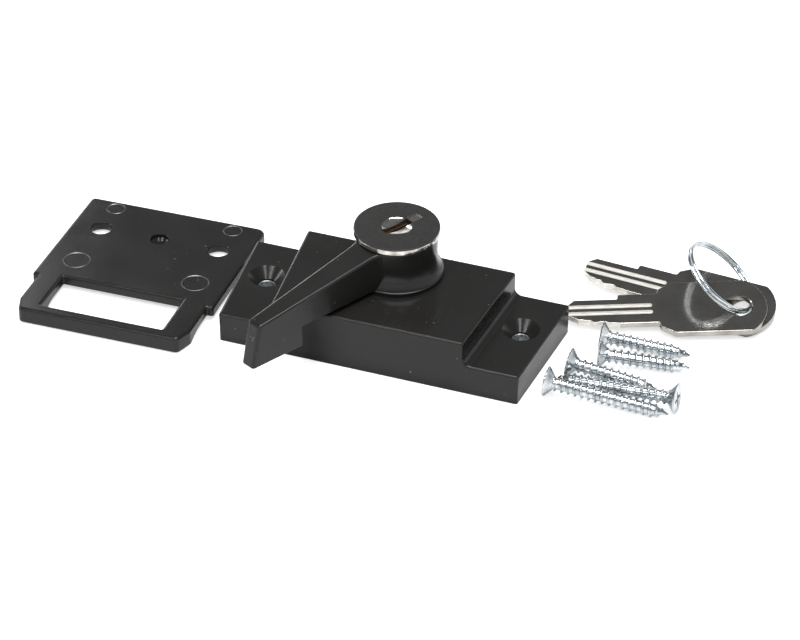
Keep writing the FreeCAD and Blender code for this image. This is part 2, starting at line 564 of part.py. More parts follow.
sub_part("locking_bolt", bolt, hub_place, lever_turned)
sub_part("bolt_keeper", round_bar("keeper", "barrel_radius", "keeper_top - keeper_bottom", "keeper_bottom"),
         hub_place, lever_turned)


def open_ring(label, inner, outer, thickness, z):
    """A flat ring with a gap, its ends at the back."""
    ring = cut(label + "_cut", cylinder(label + "_disc", outer, thickness, z, start="(360 - snap_ring_angle)/2",
                                        span="snap_ring_angle"),
               [cylinder(label + "_hole", inner, thickness, z)])
    return sub_part(label, ring, hub_place, lever_turned)


open_ring("barrel_clip", "clip_inner_radius", "barrel_radius + clip_depth - ring_seat_gap", "clip_thickness",
          "clip_bottom")
open_ring("retaining_ring", "snap_groove_radius + ring_seat_gap", "snap_ring_outer", "snap_ring_thickness",
          "snap_ring_top - snap_ring_thickness")
washer_low = "(snap_ring_top + wave_rise + wave_thickness)"
sub_part("flat_washer", turned("washer", [("washer_inner", washer_low), ("washer_outer", washer_low),
                                          ("washer_outer", f"{washer_low} + washer_thickness - ring_seat_gap"),
                                          ("washer_inner", f"{washer_low} + washer_thickness - ring_seat_gap")]),
         hub_place, lever_turned)
sub_part("spring_washer", turned("wave", [("washer_inner", "snap_ring_top"),
                                          ("washer_outer", "snap_ring_top + wave_rise"),
                                          ("washer_outer", washer_low),
                                          ("washer_inner", "snap_ring_top + wave_thickness")]),
         hub_place, lever_turned)

# Strike plate, in its own frame: origin at the middle of the back edge, top face at 0

strike = new_body("strike_body")
half_plate = "plate_width/2"
half_loop = "loop_width/2"
strike_outline = [("-" + half_plate, "-plate_depth"), ("-" + half_loop, "-plate_depth"),
                  ("-" + half_loop, "-loop_corner_depth"), (f"-({half_loop} - loop_corner)", "-loop_depth"),
                  (f"{half_loop} - loop_corner", "-loop_depth"), (half_loop, "-loop_corner_depth"),
                  (half_loop, "-plate_depth"), (half_plate, "-plate_depth"), (half_plate, "0"),
                  ("-" + half_plate, "0")]
slab = pad(strike, "slab", outline(sketch(strike, "XY_Plane", "slab_outline", "-bar_height"), strike_outline),
           "bar_height")
under_sketch = sketch(strike, "YZ_Plane", "underside")
outline(under_sketch, [("loop_corner", "-2*bar_height"), ("loop_corner", "-plate_thickness"),
                       ("-arm_slope_start", "-plate_thickness"), ("-loop_corner_depth", "-bar_height"),
                       ("-loop_corner_depth", "-2*bar_height")], arcs={2: "-under_sag"})
underside = pocket(strike, "underside_cut", under_sketch, midplane=True)
strike_window = rectangle(sketch(strike, "XY_Plane", "window_outline"), "-window_width/2 - window_shift",
                          "-(loop_depth - bar_width)", "window_width/2 - window_shift", "-window_back")
window_cut = pocket(strike, "window_cut", strike_window, midplane=True)
plate_corners = fillet(strike, "plate_corners", window_cut, "plate_corner",
                       lambda a, b: abs(a.z - b.z) > 3 and abs(a.y - b.y) < 0.01 and abs(a.y) < 0.01)
plate_edges = fillet(strike, "plate_edges", plate_corners, "plate_edge",
                     lambda a, b: both(a, b, at_height(0)))
tab_back = "(loop_depth - bar_width)"
tab_sketch = outline(sketch(strike, "XY_Plane", "tab_outline", "-bar_height"),
                     [("-tab_left", f"-({tab_back} + bar_width/2)"), ("tab_right", f"-({tab_back} + bar_width/2)"),
                      ("tab_right", f"-{tab_back}"), ("-tab_left", f"-{tab_back}")], arcs={2: "tab_bulge"})
tab = pad(strike, "bar_tab", tab_sketch, "tab_height")
strike_tools = []
for side, name in (("-", "left"), ("", "right")):
    x = f"{side}strike_hole_spacing/2"
    strike_tools += [
        cylinder("strike_hole_" + name, "strike_hole_radius", "plate_thickness", "-plate_thickness", x,
                 "-strike_hole_back"),
        cone("strike_sink_" + name, "strike_sink_radius", "strike_hole_radius",
             "strike_sink_radius - strike_hole_radius", "-plate_thickness", x, "-strike_hole_back"),
        cylinder("back_mark_" + name, "back_mark_radius", "mark_depth", "-mark_depth", x, "-back_mark_back"),
        cylinder("front_mark_" + name, "front_mark_radius", "mark_depth", "-mark_depth", x, "-front_mark_back")]
strike_tools.append(cylinder("middle_hole", "middle_hole_radius", "middle_hole_depth", "-middle_hole_depth",
                             "0", "-strike_hole_back"))
strike_tilt = -math.degrees(math.atan(value("(bar_height - plate_thickness)/loop_corner_depth")))
strike_turned = FreeCAD.Rotation(UP, value("strike_turn")).multiply(FreeCAD.Rotation(V(1, 0, 0), strike_tilt))
strike_lift = value("plate_thickness")*math.cos(math.radians(strike_tilt))
sub_part("strike_plate", cut("strike_cut", strike, strike_tools),
         V(value("-(base_length/2 + plate_width/2 + strike_gap)"), value("strike_y"), strike_lift), strike_turned)

# Keys: flat bow with a round hole, shouldered blade with five cuts in one edge

cut_levels = ("first_level", "second_level", "third_level", "fourth_level", "fifth_level")


def key(label, hole_centre, turn):
    body = new_body(label + "_body")
    flank = [("bow_side_end", "bow_half"), ("bow_front - bow_corner", "bow_half"),
             ("bow_front", "bow_shoulder"), ("bow_front", "shoulder_half"), ("shoulder_end", "shoulder_half"),
             ("shoulder_end", "blade_half")]
    lower = [(x, "-" + y) for x, y in flank]
    tip = [("blade_end - blade_point", "-blade_half"), ("blade_end", "blade_point - blade_half"),
           ("blade_end", "blade_half - blade_point")]
    cuts = []
    for number, level in reversed(list(enumerate(cut_levels))):
        x = f"first_cut + {number}*cut_pitch"
        cuts += [(f"{x} + cut_half", level), (f"{x} - cut_half", level)]
    corners = lower + tip + cuts + flank[4::-1]
    profile = sketch(body, "XY_Plane", label + "_outline")
    outline(profile, corners, arcs={len(corners) - 1: "bow_side_end - bow_end"})
    circle(profile, "0", "0", "key_hole_radius")
    pad(body, label + "_plate", profile, "key_thickness", midplane=True)
    grooves = []
    for face, low in (("top", "key_thickness/2 - groove_depth"), ("under", "-key_thickness/2")):
        for side, y in (("upper", "upper_groove"), ("lower", "-lower_groove")):
            grooves.append(box(f"{label}_{face}_{side}_groove", "blade_end - groove_end", "groove_width",
                               "groove_depth", ("(blade_end + groove_end)/2", y, low)))
    tilt = FreeCAD.Rotation(V(math.cos(math.radians(value("stack_axis"))),
                              math.sin(math.radians(value("stack_axis"))), 0), value("stack_tilt"))
    sub_part(label, cut(label + "_cut", body, grooves), V(*[value(part) for part in hole_centre]),
             tilt.multiply(FreeCAD.Rotation(UP, value(turn))))


key("key_rear", ("base_length/2 + rear_hole_aside", "rear_hole_y", "rear_hole_z"), "rear_key_turn")
key("key_front", ("base_length/2 + front_hole_aside", "front_hole_y", "front_hole_z"), "front_key_turn")

# Split ring: one unbroken wire of two turns, stepping from the lower turn to the upper one

ring_radius = value("ring_radius")
wire_radius = value("ring_wire")
ring_level = value("ring_pitch/2")
jog = math.radians(value("ring_jog"))


def on_ring(angle, height):
    return V(ring_radius*math.cos(angle), ring_radius*math.sin(angle), height)


def along_ring(angle):
    return V(-math.sin(angle), math.cos(angle), 0)


def turn_arcs(start, end, height):
    """A run of round arcs, each of at most a quarter turn."""
    steps = math.ceil((end - start)/(math.pi/2) - 1e-9)
    step = (end - start)/steps
    return [Part.Arc(on_ring(start + i*step, height), on_ring(start + (i + 0.5)*step, height),
                     on_ring(start + (i + 1)*step, height)).toShape() for i in range(steps)]


def tangent_arc(start, heading, end):
    """The arc that leaves start along heading and reaches end."""
    chord = end - start
    radius_line = heading.cross(chord).cross(heading).normalize()
    radius = chord.dot(chord)/(2*chord.dot(radius_line))
    centre = start + radius_line*radius
    middle = ((start + end)*0.5 - centre).normalize()*radius + centre
    return Part.Arc(start, middle, end).toShape()


def biarc(start, heading, end, last_heading):
    """Two arcs that join two points, tangent to both headings."""
    chord = end - start
    spread = heading + last_heading
    across = chord.dot(spread)
    blunt = 2*(1 - heading.dot(last_heading))
    reach = (math.sqrt(across**2 + blunt*chord.dot(chord)) - across)/blunt
    joint = (start + end + (heading - last_heading)*reach)*0.5
    first = tangent_arc(start, heading, joint)
    second = tangent_arc(end, last_heading*-1, joint)
    return [first, second]


low_start, low_end = jog/2, 2*math.pi - jog/2
high_start, high_end = 2*math.pi + jog/2, 4*math.pi - jog/2
start_point = on_ring(low_start, -ring_level)
end_point = on_ring(high_end, ring_level)
straight = 2*wire_radius
path = [Part.makeLine(start_point - along_ring(low_start)*straight, start_point)]
path += turn_arcs(low_start, low_end, -ring_level)
path += biarc(on_ring(low_end, -ring_level), along_ring(low_end), on_ring(high_start, ring_level),
              along_ring(high_start))
path += turn_arcs(high_start, high_end, ring_level)
path.append(Part.makeLine(end_point, end_point + along_ring(high_end)*straight))
wire_path = Part.Wire(path)
section = Part.Wire(Part.makeCircle(wire_radius, start_point - along_ring(low_start)*straight,
                                    along_ring(low_start)))
ring_pipe = Part.BRepOffsetAPI.MakePipeShell(wire_path)
ring_pipe.add(section)
ring_pipe.build()
ring_pipe.makeSolid()
ring = doc.addObject("Part::Feature", "ring_wire_shape")
ring.Shape = ring_pipe.shape()
lean = FreeCAD.Rotation(UP, value("ring_heading")).multiply(FreeCAD.Rotation(V(0, 1, 0), value("ring_lean")))
sub_part("split_ring", ring, V(value("base_length/2 + ring_aside"), value("ring_y"), value("ring_z")),
         lean.multiply(FreeCAD.Rotation(UP, value("ring_turn"))))
print("split ring: gap between turns", round(2*(ring_level - wire_radius), 3), "mm")

# Screws: flat countersunk heads with a cross recess, lying on their sides


def screw(name, length, head, tip):
    body = new_body(name)
    neck = "screw_head_height + screw_neck"
    profile = [("0", "0"), ("0", length), ("screw_core_radius*0.6", f"{length} - screw_point/2"),
               ("screw_core_radius", f"{length} - screw_point")]
    ridges = int(value(f"({length} - screw_point - screw_head_height - 1)/thread_pitch"))
    for number in range(ridges):
        low = f"{length} - screw_point - {number}*thread_pitch"
        profile += [("screw_core_radius", f"{low} - thread_pitch*0.3"),
                    ("thread_radius", f"{low} - thread_pitch*0.6"),
                    ("thread_radius", f"{low} - thread_pitch*0.68"),
                    ("screw_core_radius", f"{low} - thread_pitch*0.98")]
    profile += [("screw_core_radius", neck), ("screw_core_radius", "screw_head_height"),
                ("screw_head_radius", "head_rim"), ("screw_head_radius - head_chamfer", "0")]
    revolution(body, name + "_turn", outline(sketch(body, "XZ_Plane", name + "_profile"), profile))
    recess = sketch(body, "XY_Plane", name + "_recess_outline")
    reach, half = "recess_reach", "recess_half"
    outline(recess, [(reach, "-" + half), (reach, half), (half, half), (half, reach), ("-" + half, reach),
                     ("-" + half, half), ("-" + reach, half), ("-" + reach, "-" + half), ("-" + half, "-" + half),
                     ("-" + half, "-" + reach), (half, "-" + reach), (half, "-" + half)])
    pocket(body, name + "_recess", recess, "recess_depth", reverse=True)
    thread_end = value(f"{length} - screw_point - 0.6*thread_pitch")
    slope = value("screw_head_radius - thread_radius")/(thread_end - value("head_rim"))
    dip = math.atan(slope)
    flat = V(tip[0] - head[0], tip[1] - head[1], 0).normalize()
    axis = flat*math.cos(dip) - UP*math.sin(dip)
    lift = (value("screw_head_radius") + value("head_rim")*slope)*math.cos(dip) + value("floor_gap")
    body.Placement = FreeCAD.Placement(V(value("base_length/2") + head[0], head[1], lift), FreeCAD.Rotation(UP, axis))
    return body


# Where each screw's head and tip lie, x counted from the end of the base
short_places = [((13.25, 15.0), (41.65, 18.3)), ((15.15, 6.0), (42.35, 12.1)), ((8.05, -1.0), (35.95, -1.5))]
long_places = [((4.35, -12.1), (42.25, -12.1)), ((43.45, -7.2), (6.15, -6.3))]
for label, length, places in (("short_screws", "short_screw", short_places),
                              ("long_screws", "long_screw", long_places)):
    group = doc.addObject("Part::Compound", label + "_group")
    group.Links = [screw(f"{label}_{number}", length, *place) for number, place in enumerate(places, start=1)]
    sub_part(label, group)

# Check and write every sub-part

doc.recompute()
for thing in doc.Objects:
    if "Invalid" in thing.State or "Error" in thing.State:
        raise RuntimeError(f"{thing.Name} did not build: {thing.State}")
os.makedirs("parts", exist_ok=True)
for label, thing in SUB_PARTS.items():
    if thing.Shape.isNull() or not thing.Shape.isValid():
        raise RuntimeError(f"{label} has no valid shape")
    thing.Shape.exportStep(f"parts/{label}.step")
print(len(SUB_PARTS), "sub-parts written")
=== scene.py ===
import math
import bmesh
import bpy
from mathutils import Matrix, Vector


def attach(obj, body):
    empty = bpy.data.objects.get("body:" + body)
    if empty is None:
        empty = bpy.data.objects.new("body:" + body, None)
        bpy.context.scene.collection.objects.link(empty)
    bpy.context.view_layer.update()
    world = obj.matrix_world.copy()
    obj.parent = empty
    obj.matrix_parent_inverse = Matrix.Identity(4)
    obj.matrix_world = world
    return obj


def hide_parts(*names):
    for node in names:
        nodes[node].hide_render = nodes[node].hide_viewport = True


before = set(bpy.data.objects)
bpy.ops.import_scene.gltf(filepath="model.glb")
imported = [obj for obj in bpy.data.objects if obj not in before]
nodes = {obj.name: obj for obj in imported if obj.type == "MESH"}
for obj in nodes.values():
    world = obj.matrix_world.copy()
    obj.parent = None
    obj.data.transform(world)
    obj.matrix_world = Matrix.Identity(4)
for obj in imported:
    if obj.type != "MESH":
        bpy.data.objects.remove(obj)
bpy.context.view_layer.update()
mm = 0.001
sharp = 0.03  # smallest corner radius, in millimetres
past = 1  # how far cutters reach past a face, in millimetres
print("frame loaded:", len(nodes), "nodes")


# Materials. Noise lies on the object's own coordinates, with its scale in features per metre

def newMaterial(name, colour, metallic, roughness, coat=0.0, ior=1.5):
    material = bpy.data.materials.new(name)
    material.use_nodes = True
    shader = material.node_tree.nodes["Principled BSDF"]
    values = {"Base Color": (*colour, 1), "Metallic": metallic, "Roughness": roughness,
              "Coat Weight": coat, "Coat Roughness": 0.06, "IOR": ior}
    for socket, value in values.items():
        shader.inputs[socket].default_value = value
    return material, shader


def noiseNode(material, scale, detail=3.0, stretch=(1, 1, 1)):
    tree = material.node_tree
    place = tree.nodes.new("ShaderNodeTexCoord")
    mapping = tree.nodes.new("ShaderNodeMapping")
    mapping.inputs["Scale"].default_value = stretch
    noise = tree.nodes.new("ShaderNodeTexNoise")
    noise.inputs["Scale"].default_value = scale
    noise.inputs["Detail"].default_value = detail
    tree.links.new(place.outputs["Object"], mapping.inputs["Vector"])
    tree.links.new(mapping.outputs["Vector"], noise.inputs["Vector"])
    return noise


# a colour ramp of (position, colour) stops, from a noise into one of the shader's sockets
def rampInto(material, shader, socket, noise, stops):
    ramp = material.node_tree.nodes.new("ShaderNodeValToRGB")
    elements = ramp.color_ramp.elements
    while len(elements) < len(stops):
        elements.new(0.5)
    for element, (position, colour) in zip(elements, stops):
        element.position = position
        element.color = (*colour, 1)
    material.node_tree.links.new(noise.outputs["Fac"], ramp.inputs["Fac"])
    material.node_tree.links.new(ramp.outputs["Color"], shader.inputs[socket])


def addBump(material, shader, noise, strength, depth=0.00005):  # depth is in metres
    bump = material.node_tree.nodes.new("ShaderNodeBump")
    bump.inputs["Strength"].default_value = strength
    bump.inputs["Distance"].default_value = depth
    material.node_tree.links.new(noise.outputs["Fac"], bump.inputs["Height"])
    material.node_tree.links.new(bump.outputs["Normal"], shader.inputs["Normal"])


def grey(level):
    return (level, level, level)


# thick gloss enamel on a die casting: patches that shine less, orange peel and dust specks
def enamelMaterial():
    look = {"paint": (0.0175, 0.0168, 0.0160), "dust": (0.10, 0.10, 0.095), "ior": 1.40,
            "speckScale": 700, "speckFrom": 0.775, "speckFull": 0.80,
            "wearScale": 60, "glossy": 0.17, "glossyTo": 0.35, "worn": 0.27, "wearAndHighlightFrom": 0.75,
            "peelScale": 420, "peel": 0.10}
    material, shader = newMaterial("blackEnamel", look["paint"], 0.0, 0.20, ior=look["ior"])
    specks = noiseNode(material, look["speckScale"], detail=1.0)
    rampInto(material, shader, "Base Color", specks,
             [(0.0, look["paint"]), (look["speckFrom"], look["paint"]),
              (look["speckFull"], look["dust"])])
    wear = noiseNode(material, look["wearScale"], detail=5.0)
    rampInto(material, shader, "Roughness", wear,
             [(look["glossyTo"], grey(look["glossy"])), (look["wearAndHighlightFrom"], grey(look["worn"]))])
    addBump(material, shader, noiseNode(material, look["peelScale"], detail=2.0), look["peel"])
    return material


# satin black on the lock's face
def discMaterial():
    look = {"paint": (0.018, 0.018, 0.017), "roughness": 0.34, "coat": 0.15,
            "dark": (0.012, 0.012, 0.011), "darkTo": 0.3,
            "light": (0.035, 0.035, 0.033), "lightFrom": 0.8,
            "grainScale": 1500, "grain": 0.10, "grainDepth": 0.00003}
    material, shader = newMaterial("discBlack", look["paint"], 0.0, look["roughness"],
                                   coat=look["coat"])
    grain = noiseNode(material, look["grainScale"])
    rampInto(material, shader, "Base Color", grain,
             [(look["darkTo"], look["dark"]), (look["lightFrom"], look["light"])])
    addBump(material, shader, grain, look["grain"], look["grainDepth"])
    return material


metalDrift = {"darkTo": 0.30, "lightFrom": 0.65, "dullTo": 0.30, "dull": 1.5,
              "brightFrom": 0.70, "bright": 0.8, "detail": 4.0}


# bare or plated metal whose tone and gloss drift a little from place to place
def metalMaterial(name, dark, light, roughness, scale, stretch=(1, 1, 1), bump=0.05):
    material, shader = newMaterial(name, light, 1.0, roughness)
    drift = noiseNode(material, scale, detail=metalDrift["detail"], stretch=stretch)
    rampInto(material, shader, "Base Color", drift,
             [(metalDrift["darkTo"], dark), (metalDrift["lightFrom"], light)])
    rampInto(material, shader, "Roughness", drift,
             [(metalDrift["dullTo"], grey(roughness * metalDrift["dull"])),
              (metalDrift["brightFrom"], grey(roughness * metalDrift["bright"]))])
    addBump(material, shader, drift, bump)
    return material


metals = {
    "polishedRim": {"dark": (0.34, 0.31, 0.27), "light": (0.82, 0.80, 0.76),
                    "roughness": 0.11, "scale": 420, "bump": 0.35},
    "polishedDish": {"dark": (0.40, 0.38, 0.35), "light": (0.88, 0.86, 0.82),
                     "roughness": 0.09, "scale": 260, "bump": 0.5},
    "stampedPanel": {"dark": (0.16, 0.15, 0.14), "light": (0.80, 0.78, 0.74),
                     "roughness": 0.20, "scale": 1500, "bump": 0.8},
    # light grey rough metal, for the sleeves lining the ear holes
    "holeSleeveGrey": {"dark": (0.20, 0.21, 0.22), "light": (0.62, 0.65, 0.67),
                   "roughness": 0.42, "scale": 900, "bump": 0.9},
    # a lighter metal, painted along the strike plate's ejector marks as their highlight
    "markHighlight": {"dark": (0.10, 0.10, 0.10), "light": (0.26, 0.26, 0.255),
                   "roughness": 0.35, "scale": 500, "bump": 0.2},
    "nickelPlate": {"dark": (0.30, 0.285, 0.26), "light": (0.50, 0.48, 0.445),
                    "roughness": 0.13, "scale": 130, "bump": 0.12},
    "zincPlate": {"dark": (0.34, 0.37, 0.39), "light": (0.80, 0.84, 0.86),
                  "roughness": 0.17, "scale": 260, "bump": 0.25},
    "springSteel": {"dark": (0.50, 0.55, 0.58), "light": (0.80, 0.85, 0.88),
                    "roughness": 0.14, "scale": 300},
    "yellowBrass": {"dark": (0.42, 0.27, 0.10), "light": (0.72, 0.50, 0.22),
                    "roughness": 0.28, "scale": 220},
    "keywayBronze": {"dark": (0.20, 0.13, 0.085), "light": (0.38, 0.26, 0.18),
                     "roughness": 0.45, "scale": 400},
    "milledPlate": {"dark": (0.62, 0.60, 0.55), "light": (0.86, 0.84, 0.79),
                    "roughness": 0.38, "scale": 700, "stretch": (0.2, 1, 1), "bump": 0.3},
}
finish = {"blackEnamel": enamelMaterial(), "discBlack": discMaterial()}
for name, look in metals.items():
    finish[name] = metalMaterial(name, **look)
print("materials made")


# Mesh helpers. Outlines run anticlockwise, in millimetres, as corners of (x, y, radius)

def rectangle(left, front, right, back, frontRadius=sharp, backRadius=None):
    if backRadius is None:
        backRadius = frontRadius
    return [(left, front, frontRadius), (right, front, frontRadius),
            (right, back, backRadius), (left, back, backRadius)]


# points of an outline with rounded corners, grown outwards all round by a distance
def outlinePoints(corners, grow=0.0, steps=5):
    points = []
    for index, (x, y, radius) in enumerate(corners):
        before = Vector(corners[index - 1][:2])
        after = Vector(corners[(index + 1) % len(corners)][:2])
        here = Vector((x, y))
        way = (here - before).normalized()
        away = (after - here).normalized()
        outward = Vector((way.y, -way.x))
        outwardNext = Vector((away.y, -away.x))
        corner = here + (outward + outwardNext) * (grow / (1 + outward.dot(outwardNext)))
        turn = math.atan2(way.x * away.y - way.y * away.x, way.dot(away))
        side = 1 if turn > 0 else -1
        bend = max(radius + grow * side, sharp)
        reach = bend * math.tan(abs(turn) / 2)
        centre = corner - way * reach + Vector((-way.y, way.x)) * bend * side
        first = corner - way * reach - centre
        for step in range(steps + 1):
            points.append(centre + Matrix.Rotation(turn * step / steps, 2) @ first)
    return points


def addLoop(bm, points, height):  # height may be a function of x and y
    level = height if callable(height) else (lambda x, y: height)
    verts = [bm.verts.new((x, y, level(x, y))) for x, y in points]
    return [bm.edges.new((verts[i - 1], verts[i])) for i in range(len(verts))]


def loftLoops(bm, loops):  # a closed skin through a stack of loops, capped at both ends
    for lower, upper in zip(loops, loops[1:]):
        bmesh.ops.bridge_loops(bm, edges=lower + upper)
    for loop in (loops[0], loops[-1]):
        bmesh.ops.contextual_create(bm, geom=loop)
    bmesh.ops.recalc_face_normals(bm, faces=bm.faces)


# (height, inset) pairs that round a rim; way is 1 for an upper rim and -1 for a lower one
def rimLevels(height, radius, way, steps=4):
    if not radius:
        return [(height, 0.0)]
    levels = []
    for step in range(steps + 1):
        angle = math.pi / 2 * step / steps
        levels.append((height - way * radius * (1 - math.sin(angle)),
                       radius * (1 - math.cos(angle))))
    return levels


def slab(corners, low, high, lowRound=0.0, highRound=0.0, steps=5):
    bm = bmesh.new()
    levels = rimLevels(low, lowRound, -1)[::-1] + rimLevels(high, highRound, 1)
    loftLoops(bm, [addLoop(bm, outlinePoints(corners, -inset, steps), z) for z, inset in levels])
    return bm


def block(low, high):  # between two corners
    return slab(rectangle(*low[:2], *high[:2]), low[2], high[2])


def spun(profile, steps, closed=False):  # (radius, height) points turned about Z
    bm = bmesh.new()
    verts = [bm.verts.new((radius, 0, height)) for radius, height in profile]
    pairs = list(zip(verts, verts[1:])) + ([(verts[-1], verts[0])] if closed else [])
    edges = [bm.edges.new(pair) for pair in pairs]
    bmesh.ops.spin(bm, geom=verts + edges, axis=(0, 0, 1), cent=(0, 0, 0),
                   angle=2 * math.pi, steps=steps, use_merge=True)
    bmesh.ops.remove_doubles(bm, verts=bm.verts, dist=1e-4)
    bmesh.ops.recalc_face_normals(bm, faces=bm.faces)
    return bm


def rod(radius, low, high, steps):
    return spun([(0, low), (radius, low), (radius, high), (0, high)], steps)


def arcPoints(centre, radius, start, end, steps):  # angles in degrees
    points = []
    for step in range(steps + 1):
        angle = math.radians(start + (end - start) * step / steps)
        points.append((centre[0] + radius * math.cos(angle),
                       centre[1] + radius * math.sin(angle)))
    return points


def bentPoints(start, pull, end, steps=8):  # a curve between two points, drawn towards a third
    points = []
    for step in range(steps + 1):
        share = step / steps
        points.append(start * (1 - share) ** 2 + pull * 2 * share * (1 - share)
                      + end * share ** 2)
    return points


def meshObject(bm, name, place=Matrix.Identity(4)):
    bmesh.ops.transform(bm, matrix=place, verts=bm.verts)
    mesh = bpy.data.meshes.new(name)
    bm.to_mesh(mesh)
    bm.free()
    piece = bpy.data.objects.new(name, mesh)
    bpy.context.scene.collection.objects.link(piece)
    return piece


def combine(piece, others, operation):  # the others are used up
    for other in others:
        tool = piece.modifiers.new("tool", "BOOLEAN")
        tool.operation = operation
        tool.solver = "EXACT"
        tool.object = other
    graph = bpy.context.evaluated_depsgraph_get()
    mesh = bpy.data.meshes.new_from_object(piece.evaluated_get(graph))
    piece.modifiers.clear()
    piece.data = mesh
    for other in others:
        bpy.data.objects.remove(other)


# sets a piece in the model's frame, in metres; pick gives each face its material's number
def finishPiece(piece, place, looks, body, replaced=(), smooth=35, pick=None):
    piece.data.transform(Matrix.Scale(mm, 4) @ place)
    piece.data.materials.clear()
    for look in looks:
        piece.data.materials.append(finish[look])
    for polygon in piece.data.polygons:
        polygon.use_smooth = True
        polygon.material_index = pick(polygon) if pick else 0
    piece.data.set_sharp_from_angle(angle=math.radians(smooth))
    shading = piece.modifiers.new("evenShading", "WEIGHTED_NORMAL")
    shading.keep_sharp = True  # flat faces stay flat beside rounded rims
    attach(piece, body)
    if replaced:
        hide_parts(*replaced)


def placed(x, y, z, turn=0.0):  # turned about Z, by degrees
    return Matrix.Translation((x, y, z)) @ Matrix.Rotation(math.radians(turn), 4, "Z")


hub = {"x": -0.5, "y": 5.6, "leverAngle": -117.1, "keywayAngle": 59.0}
leverPlace = placed(hub["x"], hub["y"], 0, hub["leverAngle"])
plugPlace = placed(hub["x"], hub["y"], 0, hub["keywayAngle"] - 90)


# Lever: a waisted hub, a tapering arm that slopes down, and a hooked end

lever = {
    # the hub outside, and its bore
    "top": 32.2, "topRadius": 12.6, "waist": 12.4, "waistHeight": 25.5,
    "footRadius": 14.45, "footBottom": 18.9, "boreRadius": 8.4, "wallRadius": 9.4,
    "neck": ((12.42, 28.5), (12.55, 31.3)),
    "topRim": ((0.0, 0.35), (0.1, 0.1), (0.35, 0.0)),  # inset and drop
    # inset and rise
    "footRim": ((0.3, 0.0), (0.08, 0.07), (0.0, 0.25), (0.08, 0.43), (0.25, 0.5)),
    "footRimGap": 0.05,
    # the sleeve that turns in the base; grooves are radius, low and high
    "sleeveRadius": 10.1, "sleeveFoot": 2.2, "sleeveChamfer": 0.3,
    "ringGroove": (9.5, 2.85, 3.95), "clipGroove": (9.05, 10.25, 11.25),
    "boltWindow": ((3.0, -1.36, 6.28), (13.2, 1.36, 8.92)),
    "pinSeat": (1.02, 11.3, 17.3),
    "stopOuter": 12.7, "stopInner": 10.9, "stopStart": 119.0, "stopSpan": 97.8,
    "stopDip": 0.6, "stopTop": 20.32,
    # the arm and its hook
    "armStart": 4, "rootHalf": 5.4, "tipHalf": 2.4, "reach": 62.0, "bendX": 10.4,
    "tipTop": 26.45, "tipTopX": 57.2, "tipFootX": 60.3, "tipCorner": 1.1, "rakeZone": 4,
    "underside": 19.5, "hookStart": 41.6, "hookBottom": 12.4, "edge": 0.75,
    "hookRim": ((0.0, 0.4), (0.12, 0.15), (0.4, 0.0)),  # rise and inset
    "webAngle": 36.0, "webEnd": 15.5, "webPull": 0.9, "webCorner": 0.05,
    # what cuts the arm away under itself, over the hub and inside it
    "cutterHalf": 30, "cutterTop": 50, "topSkim": 0.04, "coreLow": 5, "coreHigh": 40,
}


def armHalf(x):
    return lever["rootHalf"] - (lever["rootHalf"] - lever["tipHalf"]) * x / lever["reach"]


def armTop(x):
    share = (x - lever["bendX"]) / (lever["tipTopX"] - lever["bendX"])
    return lever["top"] - (lever["top"] - lever["tipTop"]) * share


# one loft in height, raked at the tip, then cut away under the arm and inside the hub
def makeArm():
    angle = math.radians(lever["webAngle"])
    hubPoint = Vector((lever["waist"] * math.cos(angle), lever["waist"] * math.sin(angle)))
    armPoint = Vector((lever["webEnd"], armHalf(lever["webEnd"])))
    pull = Vector((hubPoint.x + lever["webPull"], armHalf(hubPoint.x)))
    web = [(point.x, point.y, sharp) for point in bentPoints(hubPoint, pull, armPoint)]
    start, rootHalf = lever["armStart"], web[0][1]
    tip, tipHalf = lever["tipTopX"], armHalf(lever["tipTopX"])
    corners = [(start, -rootHalf, lever["webCorner"])] + [(x, -y, radius) for x, y, radius in web]
    corners += [(tip, -tipHalf, lever["tipCorner"]), (tip, tipHalf, lever["tipCorner"])]
    corners += web[::-1] + [(start, rootHalf, lever["webCorner"])]
    bm = bmesh.new()
    loops = [addLoop(bm, outlinePoints(corners, -inset, 6), lever["hookBottom"] + rise)
             for rise, inset in lever["hookRim"]]
    loops += [addLoop(bm, outlinePoints(corners, -inset, 6), lambda x, y: armTop(x) + rise)
              for rise, inset in rimLevels(0.0, lever["edge"], 1, 5)]
    loftLoops(bm, loops)
    rake = (lever["tipFootX"] - tip) / (lever["tipTop"] - lever["hookBottom"])
    for vert in bm.verts:
        if vert.co.x > tip - lever["rakeZone"]:
            vert.co.x += max(lever["tipTop"] - vert.co.z, 0) * rake
    arm = meshObject(bm, "leverArm")
    wide = lever["cutterHalf"]
    underArm = block((-wide, -wide, 0), (lever["hookStart"], wide, lever["underside"]))
    overHub = block((-wide, -wide, lever["top"] - lever["topSkim"]),
                    (wide, wide, lever["cutterTop"]))
    inHub = rod(lever["wallRadius"], lever["coreLow"], lever["coreHigh"], 90)
    combine(arm, [meshObject(underArm, "underArm"), meshObject(overHub, "overHub"),
                  meshObject(inHub, "inHub")], "DIFFERENCE")
    return arm


